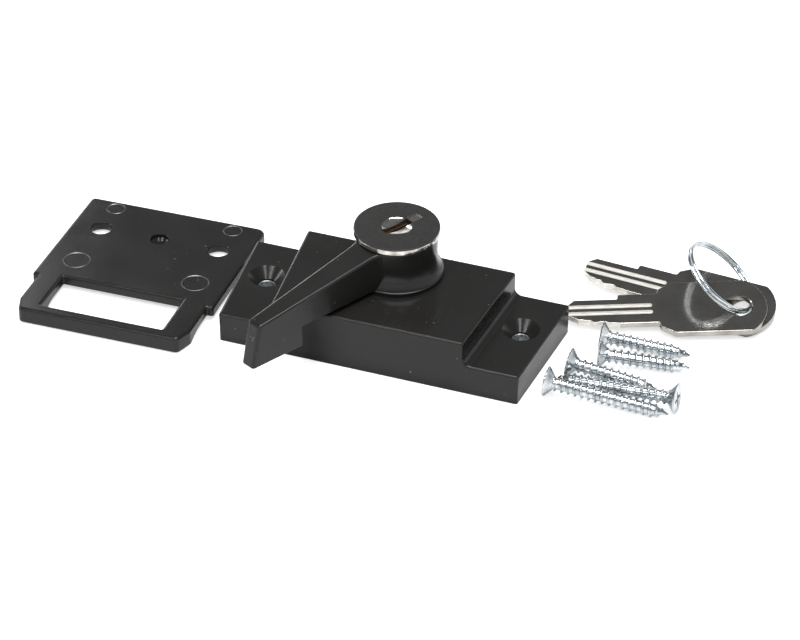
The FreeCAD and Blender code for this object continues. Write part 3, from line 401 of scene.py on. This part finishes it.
def hubProfile():
    top, bore, foot = lever["top"], lever["boreRadius"], lever["footBottom"]
    sleeve, sleeveFoot, chamfer = lever["sleeveRadius"], lever["sleeveFoot"], lever["sleeveChamfer"]
    ringRadius, ringLow, ringHigh = lever["ringGroove"]
    clipRadius, clipLow, clipHigh = lever["clipGroove"]
    step = lever["footRadius"] - lever["waist"]
    rise = lever["waistHeight"] - foot
    bend = (step ** 2 + rise ** 2) / (2 * step)
    spread = math.degrees(math.asin(rise / bend))
    flare = arcPoints((lever["waist"] + bend, lever["waistHeight"]), bend, 180 + spread, 180, 10)
    flareFoot = flare[0][0]
    profile = [(bore, sleeveFoot), (sleeve - chamfer, sleeveFoot), (sleeve, sleeveFoot + chamfer),
               (sleeve, ringLow), (ringRadius, ringLow), (ringRadius, ringHigh),
               (sleeve, ringHigh), (sleeve, foot)]
    profile += [(flareFoot - inset, foot + lift) for inset, lift in lever["footRim"]]
    flareStart = foot + lever["footRim"][-1][1] + lever["footRimGap"]
    profile += [point for point in flare if point[1] > flareStart]
    profile += lever["neck"]
    profile += [(lever["topRadius"] - inset, top - drop) for inset, drop in lever["topRim"]]
    profile += [(bore, top), (bore, clipHigh), (clipRadius, clipHigh), (clipRadius, clipLow),
                (bore, clipLow)]
    return profile


def stopSlotCorners(steps=20):
    def along(radius, ways):
        angles = [math.radians(lever["stopStart"] + lever["stopSpan"] * way / steps)
                  for way in ways]
        return [(radius * math.cos(angle), radius * math.sin(angle), sharp) for angle in angles]

    there = range(steps + 1)
    return along(lever["stopOuter"], there) + along(lever["stopInner"], there[::-1])


def makeLever():
    arm = makeArm()
    body = meshObject(spun(hubProfile(), 96, closed=True), "leverBody")
    stopSlot = slab(stopSlotCorners(), lever["footBottom"] - lever["stopDip"], lever["stopTop"])
    atBore = Matrix.Translation((-lever["boreRadius"], 0, 0))
    combine(body, [meshObject(block(*lever["boltWindow"]), "boltWindow"),
                   meshObject(stopSlot, "stopSlot"),
                   meshObject(rod(*lever["pinSeat"], 24), "pinSeat", atBore)], "DIFFERENCE")
    combine(body, [arm], "UNION")
    finishPiece(body, leverPlace, ["blackEnamel"], "lever", ["lever_handle"],
                smooth=28)


makeLever()
print("lever made")


# Lock face: a black disc with a bright rim, a dish and a keyway

disc = {"low": 32.3, "high": 34.4, "radius": 13.2, "chamfer": 0.3,
        "rim": ((0.0, 0.75), (0.12, 0.5), (0.12, 0.25), (0.2, 0.08), (0.4, 0.0)),  # inset, drop
        "dish": 4.6, "dishDepth": 0.9, "lip": 0.15, "lipDrop": 0.08,
        "slotHalf": 1.4, "slotReach": 5.1, "slotCorner": 0.3,
        "panelHalf": 1.6, "panelReach": 9.0, "panelDepth": 0.35, "panelCorner": 0.2,
        "brightWidth": 0.45, "brightDrop": 0.55,  # the bare edge
        "dishFrom": 0.01, "panelFrom": 0.05, "panelTo": 0.5, "wallTilt": 0.2}


# which look a face gets, by its place: see the list in makeFaceDisc
def pickDiscLook(polygon):
    centre = polygon.center / mm
    radius = math.hypot(centre.x - hub["x"], centre.y - hub["y"])
    drop = disc["high"] - centre.z
    if radius > disc["radius"] - disc["brightWidth"]:
        return 1 if drop > disc["brightDrop"] else 0
    if radius < disc["dish"] and drop > disc["dishFrom"]:
        return 2 if abs(polygon.normal.z) < disc["wallTilt"] else 3
    return 4 if disc["panelFrom"] < drop < disc["panelTo"] else 0


def makeFaceDisc():
    low, high, radius = disc["low"], disc["high"], disc["radius"]
    dish, lipDrop = disc["dish"], disc["lipDrop"]
    profile = [(0, low), (radius - disc["chamfer"], low), (radius, low + disc["chamfer"])]
    profile += [(radius - inset, high - drop) for inset, drop in disc["rim"]]
    profile += [(dish + disc["lip"], high), (dish, high - lipDrop)]
    for step in range(1, 11):  # the dish is a shallow bowl
        share = 1 - step / 10
        sunk = (disc["dishDepth"] - lipDrop) * (1 - share ** 2)
        profile.append((dish * share, high - lipDrop - sunk))
    face = meshObject(spun(profile, 128), "faceDisc")
    half, reach = disc["slotHalf"], disc["slotReach"]
    slot = slab(rectangle(-half, -reach, half, reach, disc["slotCorner"]),
                low - past, high + past)
    half, reach = disc["panelHalf"], disc["panelReach"]
    panel = slab(rectangle(-half, 0, half, reach, disc["panelCorner"]),
                 high - disc["panelDepth"], high + past)
    combine(face, [meshObject(slot, "discSlot"), meshObject(panel, "discPanel")], "DIFFERENCE")
    finishPiece(face, plugPlace,
                ["discBlack", "polishedRim", "keywayBronze", "polishedDish", "stampedPanel"],
                "plug", ["face_disc"], smooth=30, pick=pickDiscLook)


makeFaceDisc()
print("face disc made")


# Strike plate: lies on its bar and its back edge, flat face up

strike = {
    "place": (-84.75, 31.9, 3.2), "turn": 1.5,
    "half": 30.29, "depth": 47.5, "thickness": 3.2, "edge": 1.0, "underEdge": 0.35,
    "loopHalf": 28.2, "loopDepth": 66.8, "corner": 2.0, "cornerDepth": 61.0,
    # radii of the outline's corners
    "backLeft": 1.6, "backRight": 3.0, "shoulder": 0.9, "armRoot": 0.5, "armBend": 4.0,
    "barEnd": 1.8,
    "barHeight": 5.2, "barWidth": 3.7, "slopeStart": 54.0, "slopeCurve": 1.6,
    "windowHalf": 20.1, "windowBack": 46.0, "windowShift": -0.3, "windowRim": 0.9,
    "windowFront": 0.9, "windowRear": 0.5,  # corner radii
    "rimAtBar": 0.6,  # the rim is this much of itself along the bar
    "cutterHalf": 40, "cutterFoot": 12, "holeFoot": 9,  # what the cutters reach to
    "holeX": 20.1, "holeBack": 16.7, "holeRadius": 3.45, "sinkRadius": 4.2, "holeLip": 0.12,
    "middleRadius": 3.05, "middleDepth": 2.2, "middleWall": 1.3, "middleFoot": 2.2,
    "middleLip": 0.1,
    "marks": ((20.2, -4.4, 3.0), (20.0, -36.4, 4.3)),  # ejector marks: x, y and radius
    "markDepth": 0.08, "markEdge": ((0.3, 0.08), (0.15, 0.2), (0.0, 0.1)),  # inset and drop
    # the painted highlight rings: half their width, and the depths of the faces they cover
    "highlightHalf": 0.3, "wearAndHighlightFrom": 0.02, "highlightTo": 0.3,
    "tabLeft": -2.3, "tabRight": 6.3, "tabSide": 63.1, "tabEnd": 62.3, "tabSlant": 1.8,
    "tabTop": 3.7, "tabRound": 1.5, "tabEdge": 0.1, "tabRoot": 2,
}
strikeTilt = math.atan((strike["barHeight"] - strike["thickness"]) / strike["cornerDepth"])
strikePlace = placed(*strike["place"], strike["turn"]) @ Matrix.Rotation(-strikeTilt, 4, "X")


def strikeOutline():
    half, loop, corner = strike["half"], strike["loopHalf"], strike["corner"]
    depth, cornerDepth, loopDepth = strike["depth"], strike["cornerDepth"], strike["loopDepth"]
    shoulder, armRoot, armBend = strike["shoulder"], strike["armRoot"], strike["armBend"]
    return [(-half, -depth, shoulder), (-loop, -depth, armRoot), (-loop, -cornerDepth, armBend),
            (-loop + corner, -loopDepth, strike["barEnd"]),
            (loop - corner, -loopDepth, strike["barEnd"]),
            (loop, -cornerDepth, armBend), (loop, -depth, armRoot), (half, -depth, shoulder),
            (half, 0, strike["backRight"]), (-half, 0, strike["backLeft"])]


# the space under the plate, up to where the arms deepen towards the bar
def strikeUnder():
    thickness, start = strike["thickness"], strike["slopeStart"]
    foot, behind = -strike["cutterFoot"], 3 * past
    side = [(behind, foot), (behind, -thickness), (-start, -thickness)]
    for step in range(1, 7):
        share = step / 6
        deeper = (strike["barHeight"] - thickness) * share ** strike["slopeCurve"]
        side.append((-start - (strike["cornerDepth"] - start) * share, -thickness - deeper))
    side.append((-strike["cornerDepth"], foot))
    bm = bmesh.new()
    wide = strike["cutterHalf"]
    face = bm.faces.new([bm.verts.new((-wide, y, z)) for y, z in side])
    walls = bmesh.ops.extrude_face_region(bm, geom=[face], use_keep_orig=True)
    moved = [part for part in walls["geom"] if isinstance(part, bmesh.types.BMVert)]
    bmesh.ops.translate(bm, vec=(2 * wide, 0, 0), verts=moved)
    bmesh.ops.recalc_face_normals(bm, faces=bm.faces)
    return meshObject(bm, "strikeUnder")


def strikeWindow():
    def loopAt(grow, height):
        left = strike["windowShift"] - strike["windowHalf"] - grow
        right = strike["windowShift"] + strike["windowHalf"] + grow
        front = -(strike["loopDepth"] - strike["barWidth"]) - grow * strike["rimAtBar"]
        back = -strike["windowBack"] + grow
        corners = rectangle(left, front, right, back, strike["windowFront"], strike["windowRear"])
        return addLoop(bm, outlinePoints(corners), height)

    bm = bmesh.new()
    rim = strike["windowRim"]
    loops = [loopAt(0, -strike["holeFoot"])]
    loops += [loopAt(grow, height) for height, grow in rimLevels(0.0, rim, 1)]
    loftLoops(bm, loops + [loopAt(rim, 2 * past)])
    return meshObject(bm, "strikeWindow")


# a round cutter whose profile ends in a small flare at the plate's face
def strikeHole(x, y, profile, radius, lip):
    flare = [(radius + lip, 0), (radius + lip, past), (0, past)]
    return meshObject(spun(profile + flare, 48), "strikeHole", Matrix.Translation((x, y, 0)))


def strikeHoles():
    radius, sink, lip = strike["holeRadius"], strike["sinkRadius"], strike["holeLip"]
    thickness, back = strike["thickness"], -strike["holeBack"]
    foot, wide = -strike["holeFoot"], sink + past  # a countersink below, then the hole
    through = [(0, foot), (wide, foot), (wide, -thickness - past),
               (radius, -thickness + sink - radius), (radius, -lip)]
    tools = []
    for side in (-1, 1):
        tools.append(strikeHole(side * strike["holeX"], back, through, radius, lip))
        for x, y, markRadius in strike["marks"]:
            mark = [(0, -strike["markDepth"])]
            mark += [(markRadius - inset, -drop) for inset, drop in strike["markEdge"]]
            tools.append(strikeHole(side * x, y, mark, markRadius, lip))
    middle, depth, lip = strike["middleRadius"], strike["middleDepth"], strike["middleLip"]
    blind = [(0, -depth), (strike["middleFoot"], -depth), (middle, -strike["middleWall"]),
             (middle, -lip)]
    return tools + [strikeHole(0, back, blind, middle, lip)]


def strikeTab():  # a small tongue inside the loop's bar
    left, right, slant = strike["tabLeft"], strike["tabRight"], strike["tabSlant"]
    root, side, end = strike["tabRoot"] - strike["loopDepth"], -strike["tabSide"], -strike["tabEnd"]
    edge, bend = strike["tabEdge"], strike["tabRound"]
    corners = [(left, root, edge), (right, root, edge), (right, side, edge),
               (right - slant, end, bend), (left + slant, end, bend), (left, side, edge)]
    return meshObject(slab(corners, edge - strike["barHeight"], -strike["tabTop"], 0, edge),
                      "strikeTab")


def makeStrikePlate():
    outline = slab(strikeOutline(), -strike["barHeight"], 0, strike["underEdge"], strike["edge"])
    body = meshObject(outline, "strikePlate")
    combine(body, [strikeUnder(), strikeWindow()] + strikeHoles(), "DIFFERENCE")
    combine(body, [strikeTab()], "UNION")
    toOwnFrame = strikePlace.inverted()

    def pick(polygon):  # a lighter metal is painted along the ejector marks' edges as their highlight
        centre = toOwnFrame @ (polygon.center / mm)
        if strike["wearAndHighlightFrom"] <= -centre.z <= strike["highlightTo"]:
            for x, y, radius in strike["marks"]:
                away = math.hypot(abs(centre.x) - x, centre.y - y)
                if abs(away - radius) < strike["highlightHalf"]:
                    return 1
        return 0

    finishPiece(body, strikePlace, ["blackEnamel", "markHighlight"], "base",
                ["strike_plate"], smooth=30, pick=pick)


makeStrikePlate()
print("strike plate made")


# Keys. Each lies in its own frame with the bow's hole at the origin and the blade along x

key = {"half": 1.0, "edge": 0.22, "hole": 4.4, "holeChamfer": 0.2,
       "bow": 11.0, "front": 24.1, "corner": 4.1, "shoulderY": 8.0, "sideEnd": -3.5, "end": -9.0,
       "endCorner": 1.2, "neckHalf": 6.3, "neckEnd": 36.5,
       "bladeHalf": 4.4, "bladeEnd": 52.3, "point": 2.2,
       "firstCut": 39.4, "pitch": 2.3, "cutHalf": 0.55, "cutLevels": (6.0, 5.3, 5.6, 4.7, 4.3),
       "grooves": (1.6, -1.3), "grooveHalf": 0.75, "grooveStart": 26.2, "grooveEnd": 56.0,
       "grooveFlat": 0.02,  # what its round end leaves flat
       "grooveShape": ((0.58, -0.35), (1.05, 0.10), (1.6, 0.10)),  # share of half, and growth
       "milledFrom": 25, "milledHalf": 2.6, "milledDrop": 0.04, "tilt": 8.28, "tiltAxis": 10.0,
       # radii of the outline's corners, and how far its steps slant
       "bowCorner": 1.5, "shoulderCorner": 0.6, "neckCorner": 0.4, "bladeCorner": 0.3,
       "tipLower": 0.5, "tipUpper": 0.8, "cutCorner": 0.15, "frontSlant": 0.4, "neckSlant": 0.3}
keyPlaces = {"key_rear": ((100.44, 42.64, 2.86), 177.5), "key_front": ((98.29, 40.0, 4.68), 200.8)}


def keyOutline():
    bow, end, neckHalf, bladeHalf = key["bow"], key["end"], key["neckHalf"], key["bladeHalf"]
    bladeEnd, point = key["bladeEnd"], key["point"]
    bulge = key["sideEnd"] - end
    endRadius = (bow ** 2 + bulge ** 2) / (2 * bulge)
    spread = math.asin(bow / endRadius)
    bowEnd = []
    for step in range(13):
        angle = math.pi - spread + 2 * spread * step / 12
        bowEnd.append((end + endRadius + endRadius * math.cos(angle), endRadius * math.sin(angle),
                       key["endCorner"] if step in (0, 12) else sharp))
    front, neckEnd, shoulder = key["front"], key["neckEnd"], key["shoulderCorner"]
    flank = [(front - key["corner"], bow, key["bowCorner"]),
             (front, key["shoulderY"], shoulder),
             (front + key["frontSlant"], neckHalf, shoulder),
             (neckEnd, neckHalf, key["neckCorner"]),
             (neckEnd + key["neckSlant"], bladeHalf, key["bladeCorner"])]
    tip = [(bladeEnd - point, -bladeHalf, key["bladeCorner"]),
           (bladeEnd, point - bladeHalf, key["tipLower"]),
           (bladeEnd, bladeHalf - point, key["tipUpper"])]
    cuts = []
    for number, level in reversed(list(enumerate(key["cutLevels"]))):
        x = key["firstCut"] + number * key["pitch"]
        cuts += [(x + key["cutHalf"], level, key["cutCorner"]),
                 (x - key["cutHalf"], level, key["cutCorner"])]
    return [(x, -y, radius) for x, y, radius in flank] + tip + cuts + flank[3::-1] + bowEnd


def keyHole():
    hole, half, chamfer = key["hole"], key["half"], key["holeChamfer"]
    wide, outside = hole + chamfer, half + past
    profile = [(0, -outside), (wide, -outside), (wide, -half), (hole, chamfer - half),
               (hole, half - chamfer), (wide, half), (wide, outside), (0, outside)]
    return meshObject(spun(profile, 48), "keyHole")


def keyGroove(centre, face):
    half, bend = key["grooveHalf"], key["grooveHalf"] - key["grooveFlat"]
    corners = rectangle(key["grooveStart"], centre - half, key["grooveEnd"], centre + half, bend)
    bm = bmesh.new()
    loftLoops(bm, [addLoop(bm, outlinePoints(corners, grow), key["half"] * share)
                   for share, grow in key["grooveShape"]])
    turnOver = Matrix.Rotation(math.pi if face < 0 else 0, 4, "X")
    return meshObject(bm, "keyGroove", turnOver)


def makeKey(node, holeCentre, turn):
    axisAngle = math.radians(key["tiltAxis"])
    axis = Vector((math.cos(axisAngle), math.sin(axisAngle), 0))
    place = (Matrix.Translation(holeCentre) @ Matrix.Rotation(math.radians(key["tilt"]), 4, axis)
             @ Matrix.Rotation(math.radians(turn), 4, "Z"))
    blank = meshObject(slab(keyOutline(), -key["half"], key["half"], key["edge"], key["edge"], 3),
                       node + "Blank")
    grooves = [keyGroove(centre, face) for face in (-1, 1) for centre in key["grooves"]]
    combine(blank, [keyHole()] + grooves, "DIFFERENCE")
    toOwnFrame = place.inverted()

    def pick(polygon):  # the grooves and the cuts are bare milled metal
        centre = toOwnFrame @ (polygon.center / mm)
        if abs(centre.z) >= key["half"] - key["milledDrop"] or centre.x <= key["milledFrom"]:
            return 0
        return 1 if abs(centre.y) < key["milledHalf"] or centre.x > key["neckEnd"] else 0

    finishPiece(blank, place, ["nickelPlate", "milledPlate"], "base", [node],
                smooth=24, pick=pick)


for node, (holeCentre, turn) in keyPlaces.items():
    makeKey(node, holeCentre, turn)
print("keys made")


# Screws. Each stands in its own frame with its head at the origin and its tip up

screw = {"headRadius": 4.6, "headHeight": 2.6, "core": 1.72, "thread": 2.38, "pitch": 2.1,
         "point": 5.0, "taper": 0.8, "steps": 24,
         "bareNeck": 0.4, "lead": 0.9, "shankSink": 0.3,
         "headRim": ((0.25, 0.0), (0.07, 0.08), (0.0, 0.25), (0.05, 0.45)),  # inset, height
         # growth round the core, and height past the head
         "neck": ((0.45, -0.1), (0.1, 0.3), (0.0, 0.9)),
         "recessHalf": 0.55, "recessReach": 2.6,
         "recessShape": ((-0.5, 1.08), (0.0, 1.0), (1.9, 0.42)),  # height, and share of width
         # radius, and height as a share of the pitch, along one turn of the thread
         "turnShape": (("core", 0.0), ("core", 0.42), ("thread", 0.66), ("thread", 0.72),
                       ("core", 0.94), ("core", 1.0)),
         # it lies on the head's rim and on the thread this far back from the tip
         "restBack": 5.76, "restRadius": 2.4, "restHead": 0.4, "clearance": 0.05}
screwPlaces = {  # length, then the head's and the tip's places on the floor
    "short_screws": (28.0, [((62.7, 11.9), (91.1, 15.2)), ((64.6, 2.9), (91.8, 9.0)),
                            ((57.5, -4.1), (85.4, -4.6))]),
    "long_screws": (38.1, [((53.8, -15.2), (91.7, -15.2)), ((92.9, -10.3), (55.6, -9.4))]),
}


# a spiral thread that starts inside the head and tapers to a point
def screwShank(name, length):
    pitch, steps = screw["pitch"], screw["steps"]
    turns = int((length - screw["headHeight"] - screw["bareNeck"]) / pitch) + 1
    start = length - turns * pitch - pitch * screw["lead"]
    inHead = screw["headHeight"] - screw["shankSink"]  # the shank starts here
    bm = bmesh.new()
    verts = [bm.verts.new((screw[radius], 0, start + share * pitch))
             for radius, share in screw["turnShape"]]
    edges = [bm.edges.new(pair) for pair in zip(verts, verts[1:])]
    bmesh.ops.spin(bm, geom=verts + edges, axis=(0, 0, 1), cent=(0, 0, 0),
                   dvec=(0, 0, pitch / steps), angle=2 * math.pi * turns, steps=steps * turns,
                   use_merge=False)
    bmesh.ops.remove_doubles(bm, verts=bm.verts, dist=1e-4)
    for vert in bm.verts:
        vert.co.z = min(vert.co.z, length)
        taper = min((length - vert.co.z) / screw["point"], 1.0) ** screw["taper"]
        vert.co.x *= taper
        vert.co.y *= taper
        vert.co.z = max(vert.co.z, inHead)
    bmesh.ops.remove_doubles(bm, verts=bm.verts, dist=2e-3)
    bmesh.ops.holes_fill(bm, edges=[edge for edge in bm.edges if edge.is_boundary], sides=0)
    bmesh.ops.recalc_face_normals(bm, faces=bm.faces)
    return meshObject(bm, name + "Shank")


def screwHead(name):
    radius, height, core = screw["headRadius"], screw["headHeight"], screw["core"]
    cone = [(0, 0)] + [(radius - inset, rise) for inset, rise in screw["headRim"]]
    cone += [(core + growth, height + rise) for growth, rise in screw["neck"]]
    cone.append((0, cone[-1][1]))
    head = meshObject(spun(cone, 64), name)
    reach, half = screw["recessReach"], screw["recessHalf"]
    cross = [(reach, -half), (reach, half), (half, half), (half, reach), (-half, reach),
             (-half, half), (-reach, half), (-reach, -half), (-half, -half), (-half, -reach),
             (half, -reach), (half, -half)]
    bm = bmesh.new()
    loftLoops(bm, [addLoop(bm, [(x * share, y * share) for x, y in cross], z)
                   for z, share in screw["recessShape"]])
    combine(head, [meshObject(bm, name + "Recess")], "DIFFERENCE")
    return head


# on its side: the head's rim and the thread near the tip both rest on the floor
def lyingPlace(length, head, tip):
    slope = ((screw["headRadius"] - screw["restRadius"])
             / (length - screw["restBack"] - screw["restHead"]))
    dip = math.atan(slope)
    flat = Vector((tip[0] - head[0], tip[1] - head[1], 0)).normalized()
    axis = flat * math.cos(dip) - Vector((0, 0, math.sin(dip)))
    height = ((screw["headRadius"] + screw["restHead"] * slope) * math.cos(dip)
              + screw["clearance"])
    return Matrix.Translation((*head, height)) @ axis.to_track_quat("Z", "Y").to_matrix().to_4x4()


def makeScrew(name, node, length, head, tip):
    shank = screwShank(name, length)
    piece = screwHead(name)
    bm = bmesh.new()
    bm.from_mesh(piece.data)
    bm.from_mesh(shank.data)
    bm.to_mesh(piece.data)
    bm.free()
    bpy.data.objects.remove(shank)
    finishPiece(piece, lyingPlace(length, head, tip), ["zincPlate"], "base", [node],
                smooth=32)


for node, (length, places) in screwPlaces.items():
    for number, (head, tip) in enumerate(places, start=1):
        makeScrew(f"{node}_{number}", node, length, head, tip)
print("screws made")


# A light grey metal sleeve lines each of the two ear holes

earHole = {"spacing": 82.4, "outer": 2.69, "inner": 2.5, "low": 0.3, "high": 6.25, "slant": 0.15}


def makeEarHole(name, side):
    inner, outer, low, high = (earHole[part] for part in ("inner", "outer", "low", "high"))
    profile = [(inner, low), (outer, low), (outer, high), (inner, high - earHole["slant"])]
    sleeve = meshObject(spun(profile, 40, closed=True), name)
    finishPiece(sleeve, placed(side * earHole["spacing"] / 2, 0, 0), ["holeSleeveGrey"], "base",
                smooth=50)


makeEarHole("earHoleLeft", -1)
makeEarHole("earHoleRight", 1)
print("ear holes made")


# Finishes of the model's own nodes

wafers = range(1, 6)
nodeFinishes = {
    "blackEnamel": ["base_housing", "lever_handle", "face_disc", "strike_plate"],
    "keywayBronze": ["cylinder_plug"],
    "yellowBrass": ["lock_barrel"] + [f"tumbler_{wafer}" for wafer in wafers],
    "zincPlate": ["plug_cam", "locking_bolt", "bolt_keeper", "flat_washer", "long_screws",
                  "short_screws"],
    "springSteel": ["barrel_clip", "barrel_pin", "spring_washer", "retaining_ring",
                    "lever_stop_pin", "split_ring"]
                   + [f"tumbler_spring_{wafer}" for wafer in wafers],
    "nickelPlate": ["key_front", "key_rear"],
}
for look, names in nodeFinishes.items():
    for name in names:
        nodes[name].data.materials.clear()
        nodes[name].data.materials.append(finish[look])
print("node finishes set")


# Floor, light and camera

floorLook = {"white": (0.93, 0.93, 0.93), "roughness": 0.9, "glow": 0.62, "half": 3.0,
             "drop": 0.0002}


# the glow is only for the camera, so that nothing on the object is lit by it
def makeFloor():
    bm = bmesh.new()
    bmesh.ops.create_grid(bm, x_segments=1, y_segments=1, size=floorLook["half"])
    floor = meshObject(bm, "studioFloor")
    floor.location.z = -floorLook["drop"]
    material, shader = newMaterial("floorWhite", floorLook["white"], 0.0, floorLook["roughness"])
    tree = material.node_tree
    link = tree.links.new
    rays = tree.nodes.new("ShaderNodeLightPath")
    glow = tree.nodes.new("ShaderNodeEmission")
    glow.inputs["Color"].default_value = (1, 1, 1, 1)
    glow.inputs["Strength"].default_value = floorLook["glow"]
    both = tree.nodes.new("ShaderNodeAddShader")
    mix = tree.nodes.new("ShaderNodeMixShader")
    link(rays.outputs["Is Camera Ray"], mix.inputs["Fac"])
    link(shader.outputs["BSDF"], mix.inputs[1])
    link(shader.outputs["BSDF"], both.inputs[0])
    link(glow.outputs["Emission"], both.inputs[1])
    link(both.outputs["Shader"], mix.inputs[2])
    link(mix.outputs["Shader"], tree.nodes["Material Output"].inputs["Surface"])
    floor.data.materials.append(material)


# the white sweep reaches a little above the floor: sweepTop and sweepFull are ray heights
worldLook = {"soft": (0.93, 0.96, 1.0), "softStrength": 0.16, "sweepTop": 0.46, "sweepFull": 0.20}


# soft light all round; polished faces see the white sweep, and the camera sees white
def makeWorld():
    world = bpy.data.worlds.new("studioWorld")
    bpy.context.scene.world = world
    world.use_nodes = True
    tree = world.node_tree
    link = tree.links.new
    background = tree.nodes["Background"]
    background.inputs["Color"].default_value = (*worldLook["soft"], 1)
    background.inputs["Strength"].default_value = worldLook["softStrength"]
    white = tree.nodes.new("ShaderNodeBackground")
    white.inputs["Color"].default_value = (1, 1, 1, 1)
    white.inputs["Strength"].default_value = 1.0
    place = tree.nodes.new("ShaderNodeTexCoord")
    parts = tree.nodes.new("ShaderNodeSeparateXYZ")
    link(place.outputs["Generated"], parts.inputs["Vector"])
    sweep = tree.nodes.new("ShaderNodeMapRange")
    sweep.inputs["From Min"].default_value = worldLook["sweepTop"]
    sweep.inputs["From Max"].default_value = worldLook["sweepFull"]
    link(parts.outputs["Z"], sweep.inputs["Value"])
    rays = tree.nodes.new("ShaderNodeLightPath")
    glossy = tree.nodes.new("ShaderNodeMath")
    glossy.operation = "MULTIPLY"
    link(rays.outputs["Is Glossy Ray"], glossy.inputs[0])
    link(sweep.outputs["Result"], glossy.inputs[1])
    seen = tree.nodes.new("ShaderNodeMath")
    seen.operation = "MAXIMUM"
    link(rays.outputs["Is Camera Ray"], seen.inputs[0])
    link(glossy.outputs["Value"], seen.inputs[1])
    mix = tree.nodes.new("ShaderNodeMixShader")
    link(seen.outputs["Value"], mix.inputs["Fac"])
    link(background.outputs["Background"], mix.inputs[1])
    link(white.outputs["Background"], mix.inputs[2])
    link(mix.outputs["Shader"], tree.nodes["World Output"].inputs["Surface"])


lamps = {  # place, target, width and depth in metres, then watts
    "softTop": ((0.05, 0.02, 0.9), (0, 0, 0), 0.55, 0.5, 8.0),
    "keyRight": ((0.32, -0.50, 0.78), (0, 0, 0.02), 0.12, 0.22, 1.3),
    "keyLeft": ((-0.90, -0.02, 0.40), (0, 0, 0.02), 0.16, 0.22, 1.0),
    "overFront": ((-0.26, -0.60, 0.75), (0, 0, 0.02), 0.35, 0.10, 1.6),
    "backLeft": ((-0.60, 0.75, 0.35), (0, 0, 0.02), 0.06, 0.7, 0.8),
}


def addLamp(name, place, target, width, depth, watts):
    lamp = bpy.data.lights.new(name, "AREA")
    lamp.shape = "RECTANGLE"
    lamp.size = width
    lamp.size_y = depth
    lamp.energy = watts
    holder = bpy.data.objects.new(name, lamp)
    holder.location = place
    holder.rotation_euler = (Vector(target) - Vector(place)).to_track_quat("-Z", "Y").to_euler()
    bpy.context.scene.collection.objects.link(holder)


view = {"place": (0.2362, -0.6503, 0.5087), "azimuth": -0.345, "pitch": 0.631,  # in radians
        "lens": 126.0, "sensor": 36.0, "clipStart": 0.01}


def makeCamera():
    azimuth, pitch = view["azimuth"], view["pitch"]
    forward = Vector((math.sin(azimuth) * math.cos(pitch), math.cos(azimuth) * math.cos(pitch),
                      -math.sin(pitch)))
    right = Vector((math.cos(azimuth), -math.sin(azimuth), 0))
    up = right.cross(forward)
    lens = bpy.data.cameras.new("photoCamera")
    lens.lens = view["lens"]
    lens.sensor_width = view["sensor"]
    lens.clip_start = view["clipStart"]
    camera = bpy.data.objects.new("photoCamera", lens)
    axes = Matrix((right, up, -forward)).transposed().to_4x4()
    camera.matrix_world = Matrix.Translation(view["place"]) @ axes
    bpy.context.scene.collection.objects.link(camera)
    bpy.context.scene.camera = camera


bpy.context.scene.view_settings.view_transform = "Standard"
makeFloor()
makeWorld()
for name, lamp in lamps.items():
    addLamp(name, *lamp)
makeCamera()
print("stage set")
